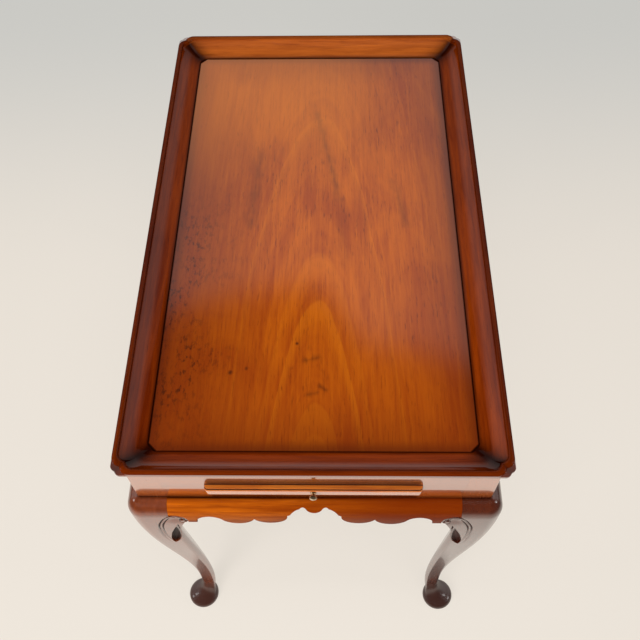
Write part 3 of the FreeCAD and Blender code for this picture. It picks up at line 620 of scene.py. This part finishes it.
def lower_edge(half, cusp_at):
    """Lower edge of an apron from its middle to its right end, drawn in mm with the shelf at 0."""
    knee = (half - post) / mm
    ear_low = -45
    scroll = knee - 24
    curl = 18
    curl_low = -39
    fret = [((11, -8.5), (19.5, -8.5), -2), ((19.5, -8.5), (32, -18.5), -2), ((32, -18.5), (36, -21), 0),
            ((36, -21), (cusp_at, -32), 20)]
    lobe_end = (knee - 71.5, -36.5)
    ear_start = (knee - 36, ear_low)
    fret += [((cusp_at, -32), lobe_end, 15), (lobe_end, ear_start, -17),
             (ear_start, (scroll, ear_low), 0)]
    line = [point for point in arc_points((-11, -8.5), (11, -8.5), 5.5, 16) if point[0] >= 0]
    for start, end, swell in fret:
        line.extend(arc_points(start, end, swell))
    for turn in quarter_turn(13):
        line.append((scroll + curl * (1 - math.cos(turn)), curl_low + curl * math.sin(turn)))
    line.append((knee - knee_gap / mm, curl_low + curl))
    return np.array(line) * mm + (0, shelf)


def apron_rings(half, cusp_at):
    """Sections of an apron along its length; X along it and Y out of the frieze."""
    right = lower_edge(half, cusp_at)
    left = right[::-1] * (-1, 1)
    rings = []
    for x, low in np.vstack([left, right[right[:, 0] > 1e-6]]):
        foot = low + apron_edge_round
        levels = [knee_line + shoulder_rise * math.sin(turn) for turn in quarter_turn(17)[::-1]]
        levels = [max(level, foot) for level in levels] + [foot]
        section = []
        for level in levels:
            rise = max(level - knee_line, 0) / shoulder_rise
            section.append((-ovolo * math.sqrt(max(1 - rise ** 2, 0)), level))
        face = section[-1][0]
        tuck = apron_edge_round
        section += [(face + 0.3 * tuck, low + 0.3 * tuck), (face + tuck, low),
                    (apron_rear - tuck, low), (apron_rear, foot), (apron_rear, shelf)]
        rings.append([(x, y, z) for y, z in section])
    return np.array(rings)


def spun(points, degrees):
    """Points turned about the table's upright axis."""
    return points @ np.array(Matrix.Rotation(math.radians(degrees), 3, "Z")).T


sides_round = ("front", "right", "back", "left")
apron_film = 0.14
end_apron_wood = mahogany("end_apron_mahogany", 0, (0.22, 0.036, 0.0018), (0.62, 0.145, 0.005))
side_apron_wood = mahogany("side_apron_mahogany", 1, (0.15, 0.022, 0.0015), (0.38, 0.075, 0.004))
for wood in (end_apron_wood, side_apron_wood):
    wood.node_tree.nodes["Principled BSDF"].inputs["Coat Weight"].default_value = apron_film
apron_shader, place, plain = reopened(end_apron_wood)
# Painted shade darkens the end aprons towards their right ends.
shade_to_right = ease(axis(place, "X"), -0.12, 0.13)
mixed(0.9 * shade_to_right, plain, (0.14, 0.016, 0.0008, 1)).feed(apron_shader, "Base Color")
# Painted shade in the angle under the frieze and growing towards the lower edge.
apron_painted_shade = [0.8, 0.4, 0.1] + [0] * 6 + list(np.linspace(0, 0.28, 9)) + [0.4] * 5
end_rings = apron_rings(frieze_x, end_cusp_at) - (0, frieze_y, 0)
side_rings = apron_rings(frieze_y, side_cusp_at) - (0, frieze_x, 0)
for turn, side in enumerate(sides_round):
    rings, wood = ((end_rings, end_apron_wood), (side_rings, side_apron_wood))[turn % 2]
    painted_shade = np.tile(apron_painted_shade, (len(rings), 1))
    fretted = skin(f"apron_{side}_fretted", spun(rings, 90 * turn), wood, carved=painted_shade)
    dress(fretted, "table", "mahogany", f"apron_{side}")

# Runners and corner blocks: plain pine, sawn and planed and left unpolished, glued inside the frame. The
# runners are grooved to carry both slides.
pine, pine_shader, place = new_finish("bare_pine")
pine_rings = noise(stretched(place, (1, 0.08, 1)), 60, 3, 0.5, 0.8)
pine_fibre = noise(stretched(place, (1, 0.03, 1)), 520, 3)
pine_tone = ease(pine_rings * 0.7 + pine_fibre * 0.3, 0.35, 0.68)
mixed(pine_tone, (0.34, 0.19, 0.085, 1), (0.56, 0.38, 0.20, 1)).feed(pine_shader, "Base Color")
(0.62 + 0.2 * pine_fibre).feed(pine_shader, "Roughness")
bumped(pine_shader, pine_fibre, 0.25, 0.0006)
for node in ("runner_left", "runner_right", *(f"corner_block_{corner}" for corner, _, _ in corners)):
    finish_node(node, pine)

# Top screws: four old slotted iron screws, driven up through the corner blocks into the tray panel. One
# tree makes a screw and sets it at the four corners.
iron, iron_shader, place = new_finish("old_iron")
rust = ease(noise(place, 420, 4), 0.42, 0.66)
mixed(rust, (0.16, 0.15, 0.14, 1), (0.17, 0.085, 0.045, 1)).feed(iron_shader, "Base Color")
(0.45 + 0.35 * rust).feed(iron_shader, "Roughness")
(0.9 - 0.7 * rust).feed(iron_shader, "Metallic")
screw_low, screw_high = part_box("top_screws")
screw_sizes = {"Head Radius": 4.2 * mm, "Head Height": 3 * mm, "Shank Radius": 2.2 * mm,
               "Slot Width": 1.1 * mm, "Slot Depth": 1.3 * mm, "Length": screw_high.z - screw_low.z,
               "Level": screw_low.z}
screw_sizes["Spacing X"] = screw_high.x - screw_low.x - 2 * screw_sizes["Head Radius"]
screw_sizes["Spacing Y"] = screw_high.y - screw_low.y - 2 * screw_sizes["Head Radius"]
screw_tree = bpy.data.node_groups.new("slotted_screws", "GeometryNodeTree")
screw_tree.interface.new_socket("Geometry", in_out="OUTPUT", socket_type="NodeSocketGeometry")
screw_inputs = {name: screw_tree.interface.new_socket(name, in_out="INPUT", socket_type="NodeSocketFloat")
                for name in screw_sizes}
given = screw_tree.nodes.new("NodeGroupInput")
part = Shade(screw_tree)
size = {name: Shade(screw_tree, given.outputs[name]) for name in screw_sizes}


def vector(x, y, z):
    return part.node("ShaderNodeCombineXYZ", {}, {0: x, 1: y, 2: z})


def shifted(geometry, x, y, z):
    return part.node("GeometryNodeTransform", {}, {"Geometry": geometry, "Translation": vector(x, y, z)})


def rod(radius, depth, low):
    """A solid rod standing on a level of the screw."""
    upright = part.node("GeometryNodeMeshCylinder", {},
                        {"Vertices": 28, "Radius": radius, "Depth": depth}, "Mesh")
    return shifted(upright, 0, 0, low + depth * 0.5)


slot_size = vector(size["Head Radius"] * 3, size["Slot Width"], size["Slot Depth"] * 2)
slot_cut = part.node("GeometryNodeMeshCube", {}, {"Size": slot_size}, "Mesh")
head = part.node("GeometryNodeMeshBoolean", {"operation": "DIFFERENCE"},
                 {"Mesh 1": rod(size["Head Radius"], size["Head Height"], 0), "Mesh 2": slot_cut}, "Mesh")
shank = rod(size["Shank Radius"], size["Length"] - size["Head Height"], size["Head Height"])
joined = screw_tree.nodes.new("GeometryNodeJoinGeometry")
for turning in (head, shank):
    screw_tree.links.new(turning.socket, joined.inputs[0])
grid = part.node("GeometryNodeMeshGrid", {}, {"Size X": size["Spacing X"], "Size Y": size["Spacing Y"],
                                              "Vertices X": 2, "Vertices Y": 2}, "Mesh")
driven_turn = part.node("FunctionNodeRandomValue", {"data_type": "FLOAT_VECTOR"},
                        {0: (0, 0, 0), 1: (0, 0, 3.1), "Seed": 7}, 0)
one_screw = Shade(screw_tree, joined.outputs[0])
screws = part.node("GeometryNodeInstanceOnPoints", {}, {"Points": shifted(grid, 0, 0, size["Level"]),
                                                        "Instance": one_screw, "Rotation": driven_turn})
screws = part.node("GeometryNodeRealizeInstances", {}, {"Geometry": screws})
screws = part.node("GeometryNodeSetMaterial", {}, {"Geometry": screws, "Material": iron})
taken = screw_tree.nodes.new("NodeGroupOutput")
screw_tree.links.new(screws.socket, taken.inputs[0])
maker = added("screw_maker", bpy.data.meshes.new("screw_maker"))
modifier = maker.modifiers.new("slotted_screws", "NODES")
modifier.node_group = screw_tree
for name, value in screw_sizes.items():
    modifier[screw_inputs[name].identifier] = value
bpy.context.view_layer.update()
evaluated = maker.evaluated_get(bpy.context.evaluated_depsgraph_get())
screw_mesh = bpy.data.meshes.new_from_object(evaluated)
bpy.data.objects.remove(maker)
screw_set = added("slotted_screws", screw_mesh)
dress(screw_set, "table", "screw_steel", "top_screws")

# Candle slides: a thin mahogany board in each end, with a moulded lip tongued to its front edge, two pegs
# that stop it, and a small turned brass knob.
slide_wood = mahogany("slide_mahogany", 0, (0.22, 0.036, 0.004), (0.52, 0.125, 0.016))
lip_polish = (2.6, 1.6, 0.04, 0.16)
lip_wood = mahogany("lip_mahogany", 0, (0.40, 0.080, 0.008), (0.82, 0.255, 0.026), *lip_polish)
peg_wood = mahogany("peg_mahogany", 2, (0.12, 0.022, 0.006), (0.26, 0.055, 0.013))
lip_round = 1.3 * mm
lip_quirk = 0.9 * mm
lip_flat = 7 * mm
lip_end_round = 5 * mm
lip_rise = 3.8 * mm
lip_reach = -frieze_y - lip_low.y


def lip_rings():
    """Sections of the lip along its length, rounded in plan at both ends, with a quirk along its top."""
    turns = quarter_turn(8)
    ends = [(-lip_high.x + lip_end_round * (1 - math.cos(turn)), lip_end_round * (1 - math.sin(turn)))
            for turn in turns]
    stations = ends + [(-x, back) for x, back in reversed(ends)]
    rings = []
    bead_top = lip_high.z - lip_quirk
    for x, back in stations:
        face = -lip_reach + back
        step = -lip_flat + back
        rounding = [(face + lip_round * (1 - math.sin(turn)), lip_round * (1 - math.cos(turn)))
                    for turn in turns]
        ring = [(0, lip_low.z)] + [(y, lip_low.z + rise) for y, rise in rounding]
        ring += [(y, bead_top - drop) for y, drop in reversed(rounding)]
        ring += [(step - 0.2 * mm, bead_top - lip_quirk), (step + 0.8 * mm, bead_top - lip_quirk),
                 (step + 1.1 * mm, lip_high.z - 0.4 * mm), (step + 1.5 * mm, lip_high.z),
                 (-1.8 * mm, lip_high.z), (-1.0 * mm, lip_high.z), (0, lip_high.z)]
        rings.append([(x, min(y, 0) - frieze_y, z + lip_rise) for y, z in ring])
    return np.array(rings)


# Painted shade in the quirk and along the back of the lip, where it meets the frieze.
lip_painted_shade = [0] * 16 + [0.3, 0.9, 0.9, 0.4, 0, 0, 0.2, 0.9]
brass, brass_shader, place = new_finish("worn_brass")
tarnish = ease(noise(place, 260, 4, 0.6), 0.36, 0.62)
mixed(tarnish, (0.78, 0.62, 0.42, 1), (0.30, 0.19, 0.09, 1)).feed(brass_shader, "Base Color")
(0.10 + 0.2 * tarnish).feed(brass_shader, "Roughness")
brass_shader.inputs["Metallic"].default_value = 1
knob_steps = 40


def knob_rings():
    """Rings of the knob from its front to the lip: a domed button, a waist and a small collar."""
    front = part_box("knob_front")[0].y
    seat = -frieze_y - lip_reach
    middle = (lip_low.z + lip_high.z) / 2 + lip_rise
    profile = [(0.2, 0), (1.6, 0.15), (3.2, 0.7), (4.5, 1.6), (5.1, 2.7), (5.2, 3.5), (4.9, 4.4), (3.9, 5.2),
               (2.8, 5.9), (2.4, 6.8), (2.5, 7.6), (3.2, 8.2), (4.0, 8.6), (4.2, 9.1), (4.2, 9.4)]
    scale = (seat - front) / profile[-1][1]
    turns = np.linspace(0, 2 * math.pi, knob_steps, endpoint=False)
    return np.array([[(radius * mm * math.cos(turn), front + behind * scale,
                       middle + radius * mm * math.sin(turn)) for turn in turns]
                     for radius, behind in profile])


for end, half_turn in (("front", (1, 1, 1)), ("back", (-1, -1, 1))):
    body = f"{end}_slide"
    rings = lip_rings() * half_turn
    lip = skin(f"lip_{end}", rings, lip_wood, carved=np.tile(lip_painted_shade, (len(rings), 1)))
    dress(lip, body, "mahogany", f"slide_lip_{end}")
    dress(skin(f"button_{end}", knob_rings() * half_turn, brass), body, "brass", f"knob_{end}")
    finish_node(f"slide_board_{end}", slide_wood)
    finish_node(f"slide_pins_{end}", peg_wood)

# Tray panel: one wide flat-sawn mahogany board, let into the rim. Its rings make tall arches along the
# middle, its edges are darker, painted shade lies in the crevice round it, and years of use have left flecks
# in the polish.
panel_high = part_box("tray_panel")[1]
rim_cover = 6 * mm
corner_cut = 11.5 * mm
arch_width = 0.125
heart_back = 0.80
field_polish = (1.5, 1.2, 0.09)
field_dark = (0.33, 0.049, 0.001, 1)
field_light = (0.56, 0.12, 0.002, 1)
arch_tone = (0.74, 0.20, 0.004, 1)
pore_tone = (0.12, 0.018, 0.0005, 1)
dash_tone = (0.12, 0.016, 0.0005, 1)
worn_tone = (0.17, 0.022, 0.0005, 1)
border_tone = (0.10, 0.012, 0.0005, 1)
edge_tone = (0.04, 0.006, 0.0005, 1)
near_tone = (0.15, 0.019, 0.0005, 1)
outer_tone = (0.18, 0.020, 0.0005, 1)
fleck_tone = (0.05, 0.008, 0.001, 1)
mark_tone = (0.07, 0.012, 0.001, 1)
lighter_far_left_tone = (0.74, 0.215, 0.010, 1)
crevice_shade_tone = (0.012, 0.0015, 0.0003, 1)
# Arches: tip along the board in mm, and strength. Marks: both ends and half width in mm, and strength.
arches = ((-347, 0.24), (-306, 0.28), (-152, 0.32), (-66, 0.16), (210, 0.18))
marks = ((-24, -211, -23.5, -211, 3.6, 0.9), (-111, -256, -110.5, -255, 5, 0.9),
         (-90, -250, -90, -249, 3.6, 0.7), (-12, -237, 6, -233, 15, 0.85),
         (8, -276, 15, -281, 11, 0.85), (-8, -288, 4, -285, 12, 0.8), (-2, 230, 34.9, 45.5, 20, 0.7),
         (-90.8, 142, -98.9, -3, 30, 0.55), (118.6, 79, 133.9, -4, 24, 0.55),
         (35, 40, 42, -80, 26, 0.2))
ragged_from = 6 * mm
field, field_shader, place = new_finish("figured_field")
across = axis(place, "X")
along = axis(place, "Y")
blur = noise(stretched(place, (1, 0.35, 1)), 130, 3)


def smear(from_x, from_y, to_x, to_y, half):
    """A soft mark along a line on the board."""
    run_x = to_x - from_x
    run_y = to_y - from_y
    off_x = across - from_x
    off_y = along - from_y
    gone = (off_x * run_x + off_y * run_y) / (run_x * run_x + run_y * run_y)
    gone = gone.node("ShaderNodeClamp", {}, {"Value": gone})
    off_x = off_x - gone * run_x
    off_y = off_y - gone * run_y
    ragged = 0.9 * half * blur if half > ragged_from else 0.0
    return 1 - ease((off_x * off_x + off_y * off_y) ** 0.5 + ragged, 0, half)


wander = noise(stretched(place, (3.2, 1.1, 1)), 2.4, 2) - 0.5
ripple = noise(stretched(place, (1, 0.25, 1)), 30, 3) - 0.5
arch_x = (across + 0.03 * wander + 0.004 * ripple) / arch_width
arch_y = along + heart_back + 0.05 * wander + 0.012 * ripple
ring_at = (arch_x * arch_x + arch_y * arch_y) ** 0.5
ring_noise = place.node("ShaderNodeTexNoise", {"noise_dimensions": "1D"},
                        {"W": ring_at, "Scale": 17, "Detail": 4, "Roughness": 0.62}, "Fac")
fibre = noise(stretched(place, (1, 0.03, 1)), 260, 4, 0.62)
pore = ease(noise(stretched(place, (1, 0.035, 1)), 1000, 2), 0.58, 0.72)
cloud = noise(stretched(place, (1.8, 0.7, 1)), 8, 4, 0.55, 0.8)
dash = ease(noise(stretched(place, (1, 0.13, 1)), 430, 2), 0.58, 0.76)
tone = ease(ring_noise * 0.20 + fibre * 0.34 + cloud * 0.46, 0.32, 0.68)
colour = mixed(tone, field_dark, field_light)
for tip, strength in arches:
    gap = ring_at - (tip * mm + heart_back)
    line = ease(gap, -0.060, -0.004) * (1 - ease(gap, -0.001, 0.006))
    colour = mixed(line * strength, colour, arch_tone)
colour = mixed(pore * 0.46, colour, pore_tone)
colour = mixed(dash * (0.16 + 0.58 * ease(cloud, 0.62, 0.36)), colour, dash_tone)
edge_x = panel_high.x - rim_cover - (across * across) ** 0.5
edge_y = panel_high.y - rim_cover - (along * along) ** 0.5
from_side = place.maths("MINIMUM", edge_x, edge_y)
from_edge = place.maths("MINIMUM", from_side, (edge_x + edge_y - corner_cut) * 0.7)
worn_left = ease(-1 * across, 0.03, 0.17) * (1 - ease(along, 0.05, 0.32))
colour = mixed(0.50 * worn_left, colour, worn_tone)
colour = mixed(0.42 - 0.42 * ease(from_edge, 0.0, 0.080), colour, border_tone)
colour = mixed(0.66 - 0.66 * ease(from_edge, 0.002, 0.020), colour, edge_tone)
colour = mixed(0.34 - 0.34 * ease(along, -0.40, 0.04), colour, near_tone)
off_middle = (across * across * 14 + along * along * 3) ** 0.5
colour = mixed(0.30 * ease(off_middle, 0.25, 1.05), colour, outer_tone)
fleck_area = ease(-1 * across, 0.08, 0.18) * (1 - ease(along, -0.08, 0.12))
flecks = ease(noise(stretched(place, (1, 0.45, 1)), 170, 4, 0.7), 0.49, 0.64) * fleck_area
colour = mixed(flecks * ease(cloud, 0.66, 0.36) * 0.85, colour, fleck_tone)
for *lengths, strength in marks:
    mark = smear(*(length * mm for length in lengths))
    colour = mixed(mark * strength, colour, mark_tone)
# The far left of the board is lighter.
lighter_far_left = ease(along, 0.02, 0.30) * ease(-1 * across, -0.16, 0.02)
colour = mixed(lighter_far_left * 0.32, colour, lighter_far_left_tone)
# Painted shade in the crevice round the field, where the polish is taken off as well.
crevice_shade = 1 - ease(from_edge, 0.0008, 0.0030)
mixed(crevice_shade, colour, crevice_shade_tone).feed(field_shader, "Base Color")
(0.26 + 0.14 * fibre + 0.1 * flecks).feed(field_shader, "Roughness")
bumped(field_shader, noise(place, 16, 2) * 0.4 - pore * 0.02, 0.04, 0.003)
french_polish(field_shader, *field_polish)
(1 - crevice_shade).feed(field_shader, "Coat Weight")
finish_node("tray_panel", field)

# Rim: four coved mahogany mouldings planted round the panel and mitred, each turning in at its ends to
# meet the next in a small cusp. A thin upright edge stands over a hollow that falls in to the frieze.
rim_low, rim_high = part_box("rim_front")
rim_width = 37.5 * mm
rebate = 31.5 * mm
field_line = panel_high.z
cove_foot = field_line + 1.5 * mm
cove_top = rim_high.z - 5 * mm
crown_width = 7.6 * mm
crown_outer = 4 * mm
crown_inner = 2.6 * mm
rim_edge = 5 * mm
edge_under = 1.2 * mm
hollow_inset = 11.5 * mm
cove_turn = math.radians(56)
edge_cusp = 0.5
corner_run = (24 * mm, 12 * mm)
corner_cusp = (11 * mm, 5.5 * mm)
hollow_corner = (2 * mm, 0.8 * mm)


def rim_profile():
    """Section of a moulding as inset from its outer edge, height, and share of the cusp at that point."""
    quarter = quarter_turn(8)
    edge_low = rim_high.z - crown_outer - rim_edge
    line = [(rebate, rim_low.z, 0)]
    for t in quarter:
        line.append((part_way(edge_under, hollow_inset, math.cos(t)),
                     part_way(rim_low.z, edge_low, math.sin(t)), edge_cusp * (1 - math.cos(t))))
    line += [(edge_under * (1 - math.sin(t)), edge_low + edge_under * (1 - math.cos(t)), edge_cusp)
             for t in quarter[1:]]
    line.append((0, rim_high.z - crown_outer - 0.4 * mm, edge_cusp))
    line += [(crown_outer * (1 - math.cos(t)), rim_high.z - crown_outer * (1 - math.sin(t)), 1)
             for t in quarter]
    line += [(crown_width - crown_inner * (1 - math.sin(t)),
              rim_high.z - crown_inner * (1 - math.cos(t)), 1) for t in quarter]
    for turn in np.linspace(cove_turn, 0, 17):
        out = math.sin(turn) / math.sin(cove_turn)
        up = (1 - math.cos(turn)) / (1 - math.cos(cove_turn))
        line.append((part_way(rim_width, crown_width, out), part_way(cove_foot, cove_top, up), 1))
    return line + [(rim_width, field_line, 1), (rebate, field_line, 1)]


def rim_rings(half):
    """Sections of a moulding from mitre to mitre; X along it and Y inwards from its outer edge."""
    starts = []
    for inset, z, grown in rim_profile():
        share = inset / rim_width
        run = part_way(*corner_run, share)
        cusp = part_way(*corner_cusp, share)
        if inset < rebate - 1e-6:
            run = part_way(hollow_corner[0], run, grown)
            cusp = part_way(hollow_corner[1], cusp, grown)
        radius = ((run - cusp) ** 2 + cusp ** 2) / (2 * cusp)
        widest = math.asin((run - cusp) / radius)
        starts.append([(inset + run - radius * math.sin(turn) - half,
                        inset + radius * (1 - math.cos(turn)), z)
                       for turn in np.linspace(widest, 0, 14)])
    left = np.swapaxes(np.array(starts), 0, 1)
    onward = [left[-1:] + (distance * mm, 0, 0) for distance in (12, 26, 45, 75)]
    left = np.concatenate([left, *onward])
    return np.concatenate([left, left[::-1] * (-1, 1, 1)])


rim_dark = (0.12, 0.013, 0.001)
rim_light = (0.33, 0.055, 0.003)
end_half = rim_high.x + corner_cusp[0]
side_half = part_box("rim_left")[1].y + corner_cusp[0]
rim_polish = (3.6, 1.25)
# Painted light on the rims: the near and side rims are painted darker for shade, and the far rim lighter,
# with a painted pale reflection.
rim_painted_light_tints = {"near": (0, (0.76, 0.62, 0.5)), "side": (1, (0.78, 0.68, 0.5)), "far": (0, (1.45, 2.1, 5))}
rim_woods = {}
for label, (grain, painted_light_tint) in rim_painted_light_tints.items():
    wood = mahogany(f"{label}_rim_mahogany_painted_light", grain, np.multiply(rim_dark, painted_light_tint),
                    np.multiply(rim_light, painted_light_tint), *rim_polish)
    burnish = attribute(Shade(wood.node_tree), "burnish")
    (0.02 + 0.98 * burnish).feed(wood.node_tree.nodes["Principled BSDF"], "Coat Weight")
    rim_woods[label] = wood
# Round the section, the upright edge is bright and the upper hollow less so. The crown is darker, and
# painted shade lies at the foot of the hollow and towards the mitres.
mitre_fade = 24 * mm
sheen_end = 24 * mm
soft_band = 6 * mm
bright = []
in_cove = []
in_crevice = []
for inset, z, _ in rim_profile():
    past_crown = inset > crown_width
    sheen = 0.17 * risen(sheen_end - inset, 0, soft_band) if past_crown else 0.0
    foot = 0.5 * max(0.0, 1 - (rim_width - inset) / soft_band)
    bright.append(1.0 if inset < 1.3 * mm and z < rim_high.z - 3 * mm else sheen)
    in_cove.append(1.0 if past_crown else 0.6)
    in_crevice.append(0.35 if inset < crown_width and z > rim_high.z - crown_outer else foot)
on_edge = np.array(bright) > 0.9
rim_looks = (("near", 1.0), ("side", 0.4), ("far", 0.5), ("side", 0.4))
for turn, side in enumerate(sides_round):
    label, shine = rim_looks[turn]
    half, out = ((end_half, side_half), (side_half, end_half))[turn % 2]
    rings = rim_rings(half)
    from_mitre = half - np.abs(rings[..., 0]) - rings[..., 1]
    # Painted shade towards the mitres, stronger in the hollow than on the crown and edge.
    mitre_shade = np.exp(-np.maximum(from_mitre, 0) / mitre_fade) * in_cove
    painted_shade = np.maximum(0.75 * mitre_shade, in_crevice)
    gloss = np.where(on_edge, 1, shine * (1 - 0.85 * mitre_shade)) * bright
    moulding = skin(f"rim_{side}_coved", spun(rings - (0, out, 0), 90 * turn), rim_woods[label],
                    burnish=gloss, carved=painted_shade)
    dress(moulding, "table", "mahogany", f"rim_{side}")

# Studio: a pale floor that keeps its tone behind the table and in the polish, a dim room with one bright
# wall beyond the far end, soft lamps overhead and from the near left, and two narrow ones at the sides.
floor_half = 6
floor_tone = (0.80, 0.745, 0.68, 1)
floor_near = (0.86, 0.80, 0.72, 1)
floor_far = (0.66, 0.66, 0.63, 1)
pool_tone = (1.0, 0.92, 0.82, 1)
gloom_tone = (0.10, 0.09, 0.08, 1)
floor_corners = [(x * floor_half, y * floor_half, 0) for x, y in ((-1, -1), (1, -1), (1, 1), (-1, 1))]
floor_mesh = bpy.data.meshes.new("floor")
floor_mesh.from_pydata(floor_corners, [], [(0, 1, 2, 3)])
floor = added("floor", floor_mesh)
floor_finish, floor_shader, place = new_finish("pale_floor")
floor_shader.inputs["Base Color"].default_value = floor_tone
floor_shader.inputs["Roughness"].default_value = 0.8
direct = place.node("ShaderNodeLightPath", output="Is Camera Ray")
mirrored = place.node("ShaderNodeLightPath", output="Is Glossy Ray")
away = (axis(place, "X") ** 2 + axis(place, "Y") ** 2) ** 0.5
near = 1 - ease(away, 1.25, 1.75)
floor_seen = mixed(ease(axis(place, "Y"), 0.3, 1.4), floor_near, floor_far)
floor_mirrored = mixed(near, gloom_tone, pool_tone)
glow = place.node("ShaderNodeEmission", {}, {"Color": mixed(mirrored, floor_seen, floor_mirrored)})
glow_share = 0.78 * place.maths("MAXIMUM", direct, mirrored)
lit = Shade(floor_finish.node_tree, floor_shader.outputs[0])
shown = place.node("ShaderNodeMixShader", {}, {0: glow_share, 1: lit, 2: glow})
floor_finish.node_tree.links.new(shown.socket, floor_finish.node_tree.nodes["Material Output"].inputs[0])
floor_mesh.materials.append(floor_finish)

room_dark = (0.085, 0.083, 0.080, 1)
room_low = (0.13, 0.125, 0.12, 1)
wall_tone = (0.95, 0.93, 0.91, 1)
backdrop = (0.74, 0.735, 0.71, 1)
world = bpy.data.worlds.new("room")
bpy.context.scene.world = world
world.use_nodes = True
background = world.node_tree.nodes["Background"]
ray = Shade(world.node_tree).node("ShaderNodeTexCoord", output="Generated")
room_direct = ray.node("ShaderNodeLightPath", output="Is Camera Ray")
room_mirrored = ray.node("ShaderNodeLightPath", output="Is Glossy Ray")
wall_level = axis(ray, "Z") - 0.040 * ease(axis(ray, "X"), -0.03, 0.05)
wall = (1 - ease(wall_level, 0.805, 0.828)) * ease(axis(ray, "Y"), 0.0, 0.45)
low = 0.75 * room_mirrored * (1 - ease(axis(ray, "Z"), 0.30, 0.65))
dim = mixed(low, room_dark, room_low)
room = mixed(wall * room_mirrored, dim, wall_tone)
mixed(room_direct, room, backdrop).feed(background, "Color")
lamp_aim = Vector((0, 0, 0.5))


def soft_light(name, place, size, power, colour, in_polish):
    lamp = bpy.data.lights.new(name, "AREA")
    lamp.shape = "DISK"
    lamp.size = size
    lamp.energy = power
    lamp.color = colour
    light = added(name, lamp)
    light.location = place
    light.rotation_euler = (lamp_aim - Vector(place)).to_track_quat("-Z", "Y").to_euler()
    light.visible_glossy = in_polish


soft_light("overhead", (0.1, -1.1, 2.9), 2.0, 52, (1.0, 0.97, 0.93), False)
soft_light("near_left", (-1.2, -2.3, 1.75), 1.6, 52, (1.0, 0.98, 0.95), False)
soft_light("left_strip", (-2.2, -0.6, 1.5), 0.5, 5, (1.0, 1.0, 1.0), True)
soft_light("right_strip", (2.2, -0.6, 1.5), 0.5, 5, (1.0, 1.0, 1.0), True)

# Camera: where the table was seen from, standing close to its near end and looking down at the tray.
picture_width = 640
focal_pixels = 787.24
sensor = 36
camera_at = Vector((26.9, -755.6, 1563.7)) * mm
forward = Vector((-0.01856, 0.53844, -0.84246))
right = Vector((0.99983, 0.01066, -0.01521))
lens = bpy.data.cameras.new("camera")
lens.sensor_width = sensor
lens.lens = focal_pixels * sensor / picture_width
camera = added("camera", lens)
axes = Matrix((right, right.cross(forward), -forward)).transposed()
camera.matrix_world = Matrix.Translation(camera_at) @ axes.to_4x4()
bpy.context.scene.camera = camera
bpy.context.scene.view_settings.view_transform = "Standard"
